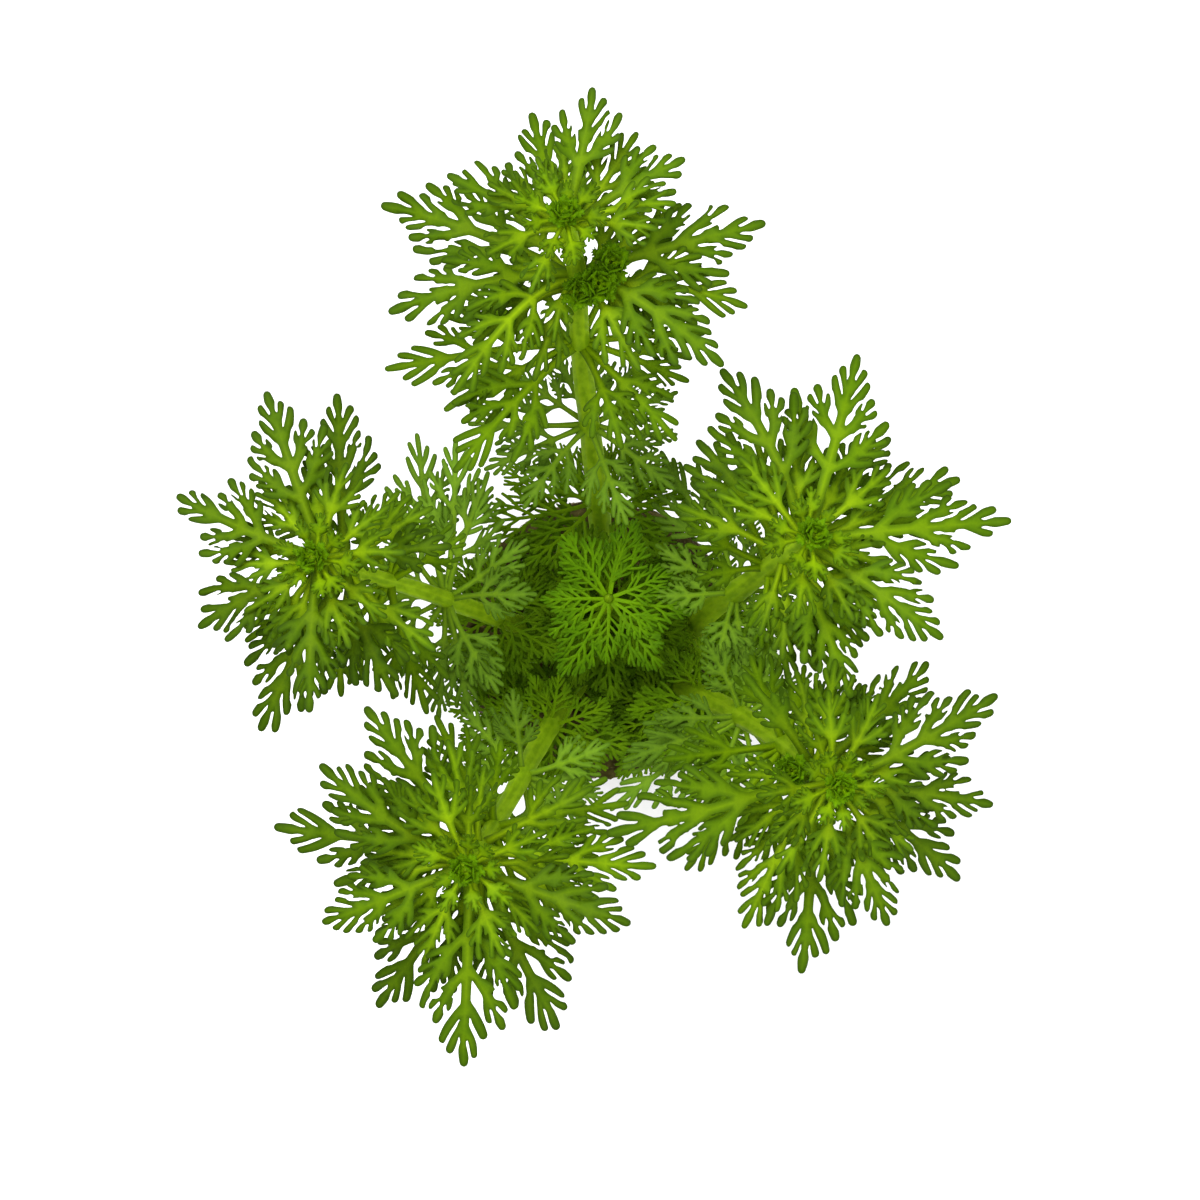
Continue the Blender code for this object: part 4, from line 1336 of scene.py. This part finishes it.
def build_lower_whorls(number, side, shoot, line, lean, finishes):
    """The whorls below the crown, and the short leaves near the ground."""
    ground = Heap()
    own = random.Random(LEAF_SEED * number + GROUND_SEED)
    for height, reach in GROUND_RINGS:
        for bearing in bearings(GROUND_LEAVES, 14, own):
            lay_ring_leaf(
                ground, line, lean, height, bearing, reach * own.uniform(0.85, 1.05), own,
                "ground", own.random(), 0,
            )
    ground.piece(side + "_ground_leaves", finishes["ground"], "fine_leaf")
    whorls = zip((shoot.third, shoot.fourth, shoot.lowest), LOWER_KINDS)
    for index, (leaves, kind) in enumerate(whorls, FIRST_LOWER_WHORL):
        heap = Heap()
        own = random.Random(LEAF_SEED * number + WHORL_SEED + index)
        height = shoot.heights[index]
        for bearing, reach in with_gaps_filled(leaves, downhill(line, height)):
            lay_ring_leaf(heap, line, lean, height, bearing, reach, own, kind, own.random())
        has_solid = index < FIRST_LOWER_WHORL + LOWER_SOLIDS
        nodes = [f"{side}_whorl_{index + 1}"] if has_solid else []
        heap.piece(f"{side}_leaf_ring_{index + 1}", finishes[kind], "fine_leaf", *nodes)


# How slim the tip of a central or side stem is, as a share of its foot
SHORT_STEM_TAPER = 0.8

# How much shorter every second leaf of the central whorl is
CENTRE_SHORTER = 0.16
CENTRE_SEED = 900
SIDE_SEED = 950


def build_centre(finishes):
    """The short upright shoot with its whorls of thread-like leaves."""
    line = smooth_route(CENTRE_ROUTE, STEM_RINGS)
    rng = random.Random(CENTRE_SEED)
    stem, whorl, lower = Heap(), Heap(), Heap()
    heights = [CENTRE_HEIGHT] + [height for height, _ in CENTRE_LOWER]
    tip_radius = CENTRE_STEM_RADIUS * SHORT_STEM_TAPER
    add_stem(stem, line, CENTRE_STEM_RADIUS, tip_radius, heights, rng.random())
    stem.piece("centre_stem_ribbed", finishes["stem"], "stem", "centre_stem")
    for k, bearing in enumerate(bearings(CENTRE_LEAVES, 14, rng)):
        reach = CENTRE_REACH * (1 - CENTRE_SHORTER * (k % 2)) * rng.uniform(0.8, 1.08)
        lay_ring_leaf(whorl, line, NO_LEAN, CENTRE_HEIGHT, bearing, reach, rng, "thread", rng.random())
    whorl.piece("centre_leaf_ring", finishes["centre"], "fine_leaf", "centre_whorl")
    for height, reach in CENTRE_LOWER:
        for bearing in bearings(CENTRE_LOWER_LEAVES, 8, rng, height):
            lay_ring_leaf(
                lower, line, NO_LEAN, height, bearing, reach * rng.uniform(0.85, 1.0), rng, "thread",
                rng.random(),
            )
    lower.piece("centre_lower_leaves", finishes["thread"], "fine_leaf")


def build_side_shoot(number, shoot, finishes):
    """A young side shoot with one whorl just under its tip."""
    line = smooth_route(shoot.route, STEM_RINGS)
    rng = random.Random(SIDE_SEED + number)
    stem, leaves = Heap(), Heap()
    height = line[-1].z - 1
    tip_radius = SIDE_STEM_RADIUS * SHORT_STEM_TAPER
    add_stem(stem, line, SIDE_STEM_RADIUS, tip_radius, [height], rng.random())
    stem.piece(f"side_stem_{number}", finishes["stem"], "stem", f"side_shoot_{number}")
    for bearing, reach in shoot.leaves:
        lay_ring_leaf(leaves, line, NO_LEAN, height, bearing, reach, rng, "thread", rng.random())
    leaves.piece(f"side_leaves_{number}", finishes["thread"], "fine_leaf")


# Plug

PLUG_FOOT_RADIUS = 20.5
PLUG_TOP_RADIUS = 23.0
PLUG_RIM_HEIGHT = 25.0
PLUG_MOUND_HEIGHT = 27.5
PLUG_ROUND = 256
PLUG_RINGS = 94

# Where the plug's side and its mound begin, as shares of the way from under it over its side to the crest
SIDE_FROM = 0.17
MOUND_FROM = 0.62
CREST_FROM = 0.66

# How far lumps and grain stand out, and how far the whole surface is set in to make up for them
LUMP_HEIGHT = 0.55
GRAIN_HEIGHT = 0.22
SET_IN = 0.25

WAVES_TOGETHER = 3
FULL_TURN = 6.3


def layered_waves(x, y, z, seed, octaves, first):
    """A lumpy number between about -1 and 1 for places in space, in finer and finer waves."""
    rng = random.Random(seed)
    total, size, scale = 0, 1.0, first
    for _ in range(octaves):
        for _ in range(WAVES_TOGETHER):
            a, b, c = (rng.uniform(-1, 1) * scale for _ in range(3))
            total = total + size * np.sin(a * x + b * y + c * z + rng.uniform(0, FULL_TURN))
        size, scale = size * 0.62, scale * 1.9
    return total / WAVES_TOGETHER


def plug_profile(share):
    """The plug's radius and height, from the middle of its underside over its side to the crest."""
    stops = np.array((0.0, 0.16, 0.20, 0.42, 0.62, 0.70, 0.84, 1.0))
    radii = np.array((
        0.0, PLUG_FOOT_RADIUS - 1.2, PLUG_FOOT_RADIUS, (PLUG_FOOT_RADIUS + PLUG_TOP_RADIUS) / 2,
        PLUG_TOP_RADIUS, PLUG_TOP_RADIUS - 2.0, PLUG_TOP_RADIUS * 0.55, 0.0,
    ))
    heights = np.array((
        0.0, 0.0, 1.5, PLUG_RIM_HEIGHT * 0.45, PLUG_RIM_HEIGHT * 0.88, PLUG_RIM_HEIGHT + 0.4,
        PLUG_MOUND_HEIGHT - 0.3, PLUG_MOUND_HEIGHT,
    ))
    return np.interp(share, stops, radii), np.interp(share, stops, heights)


def build_plug(finish):
    """Packed medium with a lumpy, fibrous surface and a flat underside."""
    share = np.linspace(0.02, 0.995, PLUG_RINGS)[:, None]
    angle = (np.arange(PLUG_ROUND) * math.tau / PLUG_ROUND)[None, :]
    radius, height = plug_profile(share)
    x, y, z = radius * np.cos(angle), radius * np.sin(angle), height + 0 * angle
    lump = layered_waves(x, y, z, seed=11, octaves=5, first=0.35)
    grain = layered_waves(x, y, z, seed=12, octaves=3, first=2.6)
    off_floor = np.clip((share - SIDE_FROM) / 0.05, 0, 1)
    push = (LUMP_HEIGHT * lump + GRAIN_HEIGHT * grain - SET_IN) * off_floor
    upward = np.clip((share - MOUND_FROM) / 0.08, 0, 1)
    out = 1 + push * (1 - upward) / np.maximum(radius, 1)
    points = np.stack([x * out, y * out, z + push * upward * 0.9], 2).reshape(-1, 3)
    # Painted shade: how high a place stands on the lumps, for darker low parts and lighter high ones
    high = np.clip(0.5 + 0.35 * lump + 0.25 * grain, 0, 1)
    forms = np.stack([high, 0 * high, share + 0 * angle, 0.5 + 0 * high], 2).reshape(-1, 4)
    heap = Heap()
    heap.add(points, tube_faces(PLUG_RINGS, PLUG_ROUND), forms)
    add_crumbs(heap)
    heap.piece("medium_plug", finish, "growing_medium", "soil_plug")


CRUMBS = 500
CRUMB_SIDES = 7
CRUMB_RINGS = 5

# Half the angle from a crumb's lowest ring to its highest
CRUMB_REACH = 1.3

# Crumbs on the mound and on the side: their radii, and how deep their middles sit
MOUND_CRUMBS, MOUND_CRUMB_DEPTH = (0.3, 0.95), 0.1
SIDE_CRUMBS, SIDE_CRUMB_DEPTH = (0.25, 0.6), 0.35


def add_crumbs(heap):
    """Small crumbs of medium on the mound and pressed into the sides."""
    rng = random.Random(31)
    for count in range(CRUMBS):
        if count % 2:
            share = rng.uniform(0.24, CREST_FROM)
        else:
            share = CREST_FROM + 0.3 * math.sqrt(rng.random() * 0.9)
        angle = rng.uniform(0, math.tau)
        radius, height = (float(v) for v in plug_profile(share))
        sizes, depth = SIDE_CRUMBS, SIDE_CRUMB_DEPTH
        if share > CREST_FROM:
            sizes, depth = MOUND_CRUMBS, MOUND_CRUMB_DEPTH
        size = rng.uniform(*sizes)
        out = radius - depth
        place = (out * math.cos(angle), out * math.sin(angle), height + rng.uniform(-0.3, 0.2))
        add_crumb(heap, np.array(place), size, rng)


def add_crumb(heap, centre, size, rng):
    """One uneven pebble-like crumb."""
    rise = np.linspace(-CRUMB_REACH, CRUMB_REACH, CRUMB_RINGS)[:, None]
    angle = (np.arange(CRUMB_SIDES) * math.tau / CRUMB_SIDES)[None, :] + rng.uniform(0, 1)
    shape = np.stack([
        np.cos(rise) * np.cos(angle), np.cos(rise) * np.sin(angle), np.sin(rise) + 0 * angle,
    ], 2).reshape(-1, 3)
    uneven = np.array([rng.uniform(0.75, 1.2) for _ in range(len(shape))])[:, None]
    stretch = np.array((rng.uniform(0.7, 1.5), rng.uniform(0.7, 1.3), rng.uniform(0.5, 0.9)))
    tone = rng.random()
    # The first number, painted light, colours every crumb like a high part of the surface
    form = np.tile((0.8, rng.uniform(0, 0.7), 0.5, tone), (len(shape), 1))
    heap.add(centre + shape * uneven * stretch * size, tube_faces(CRUMB_RINGS, CRUMB_SIDES), form)


ROOTS = 130
ROOT_SIDES = 6
ROOT_STEPS = 44
SHORTEST_ROOT = 8

# The stretch of the plug's side where roots begin, and the one that they stay in
ROOT_STARTS = (0.26, 0.63)
ROOT_LIMITS = (0.21, 0.64)
ROOT_FALLS = (-0.0065, 0.0005)
ROOT_TURNS = (-0.028, 0.028)

# Thinnest and thickest root's radius at its start, and how much of it is lost to its end
ROOT_THIN, ROOT_THICK = 0.10, 0.36
ROOT_TAPER = 0.75


def build_roots(finish):
    """Roots that wander down the plug's sides, thick ones and many finer ones."""
    heap = Heap()
    rng = random.Random(41)
    for _ in range(ROOTS):
        share, angle = rng.uniform(*ROOT_STARTS), rng.uniform(0, math.tau)
        fall, turn = rng.uniform(*ROOT_FALLS), rng.uniform(*ROOT_TURNS)
        thick = ROOT_THIN + (ROOT_THICK - ROOT_THIN) * rng.random() ** 2
        first, second = rng.uniform(0, FULL_TURN), rng.uniform(0, FULL_TURN)
        wander = rng.uniform(0.5, 1.4)
        path = []
        for k in range(ROOT_STEPS):
            sway = 0.004 * math.sin(k * 0.31 + first) + 0.003 * math.sin(k * 0.9 + second)
            swing = 0.014 * math.sin(k * 0.43 + second) + 0.010 * math.sin(k * 1.1 + first)
            share += fall + wander * sway
            angle += turn + wander * swing
            if not ROOT_LIMITS[0] < share < ROOT_LIMITS[1]:
                break
            radius, height = plug_profile(share)
            path.append((radius * math.cos(angle), radius * math.sin(angle), float(height)))
        if len(path) > SHORTEST_ROOT:
            add_root(heap, np.array(path), thick, rng)
    heap.piece("plug_roots", finish, "growing_medium")


def add_root(heap, path, thick, rng):
    """A thin tapering tube, half sunk in the medium's surface."""
    course = unit(np.gradient(path, axis=0))
    out = path * np.array((1, 1, 0))
    across = unit(np.cross(course, out))
    beside = np.cross(course, across)
    sides = np.arange(ROOT_SIDES) * math.tau / ROOT_SIDES
    share = np.linspace(0, 1, len(path))
    radius = thick * (1 - ROOT_TAPER * share)
    ring = (
        np.cos(sides)[None, :, None] * across[:, None] + np.sin(sides)[None, :, None] * beside[:, None]
    ) * radius[:, None, None]
    points = (path[:, None] + ring).reshape(-1, 3)
    tone = rng.random()
    forms = np.repeat(np.stack([share * 0, share * 0, share, share * 0 + tone], 1), ROOT_SIDES, axis=0)
    heap.add(points, tube_faces(len(path), ROOT_SIDES), forms)


# Studio: places and sizes in metres

FLOOR_HALF = 3.0
FLOOR_GREYS = ((0.90, 0.90, 0.90), (0.92, 0.92, 0.92))

# name, place, size and power of each lamp, and the strength of the light from all round
LIGHTS = (("key_light", (-0.35, 0.45, 0.95), 0.8, 16), ("fill_light", (0.7, -0.5, 0.8), 1.2, 10))
DAYLIGHT = 0.85


def build_studio():
    """A pale floor, soft lights from above and the camera over the crowns."""
    f = Finish("studio_floor")
    cloudy = f.noise(scale=6, detail=2)
    f.feed(f.shader, {
        "Base Color": f.mix(cloudy, *FLOOR_GREYS),
        "Roughness": 0.7,
        "Specular IOR Level": 0.2,
    })
    mesh = bpy.data.meshes.new("studio_floor")
    corners = [(x * FLOOR_HALF, y * FLOOR_HALF, 0) for x, y in ((-1, -1), (1, -1), (1, 1), (-1, 1))]
    mesh.from_pydata(corners, [], [(0, 1, 2, 3)])
    mesh.materials.append(f.material)
    floor = bpy.data.objects.new("studio_floor", mesh)
    bpy.context.scene.collection.objects.link(floor)

    for light in LIGHTS:
        add_area_light(*light)

    world = bpy.data.worlds.new("studio_world")
    world.use_nodes = True
    background = world.node_tree.nodes["Background"]
    background.inputs["Color"].default_value = (1, 1, 1, 1)
    background.inputs["Strength"].default_value = DAYLIGHT
    bpy.context.scene.world = world
    bpy.context.scene.view_settings.view_transform = "Standard"

    lens = bpy.data.cameras.new("camera")
    lens.lens = CAMERA_LENS
    lens.sensor_width = CAMERA_SENSOR
    lens.clip_start, lens.clip_end = 0.01, 20
    camera = bpy.data.objects.new("camera", lens)
    camera.location = Vector(CAMERA_AT) * MM
    bpy.context.scene.collection.objects.link(camera)
    bpy.context.scene.camera = camera


def add_area_light(name, place, size, power):
    """A soft square lamp that faces the plant's foot."""
    light = bpy.data.lights.new(name, "AREA")
    light.size = size
    light.energy = power
    made = bpy.data.objects.new(name, light)
    made.location = place
    made.rotation_euler = (-Vector(place)).to_track_quat("-Z", "Y").to_euler()
    bpy.context.scene.collection.objects.link(made)


def main():
    finishes = {kind: leaf_finish(green) for kind, green in LEAF_GREENS.items()}
    finishes["stem"] = stem_finish()
    for number, (side, shoot) in enumerate(SHOOTS.items(), 1):
        build_shoot(number, side, shoot, finishes)
    build_centre(finishes)
    for number, shoot in enumerate(SIDE_SHOOTS, 1):
        build_side_shoot(number, shoot, finishes)
    build_plug(medium_finish())
    build_roots(root_finish())
    build_studio()


main()
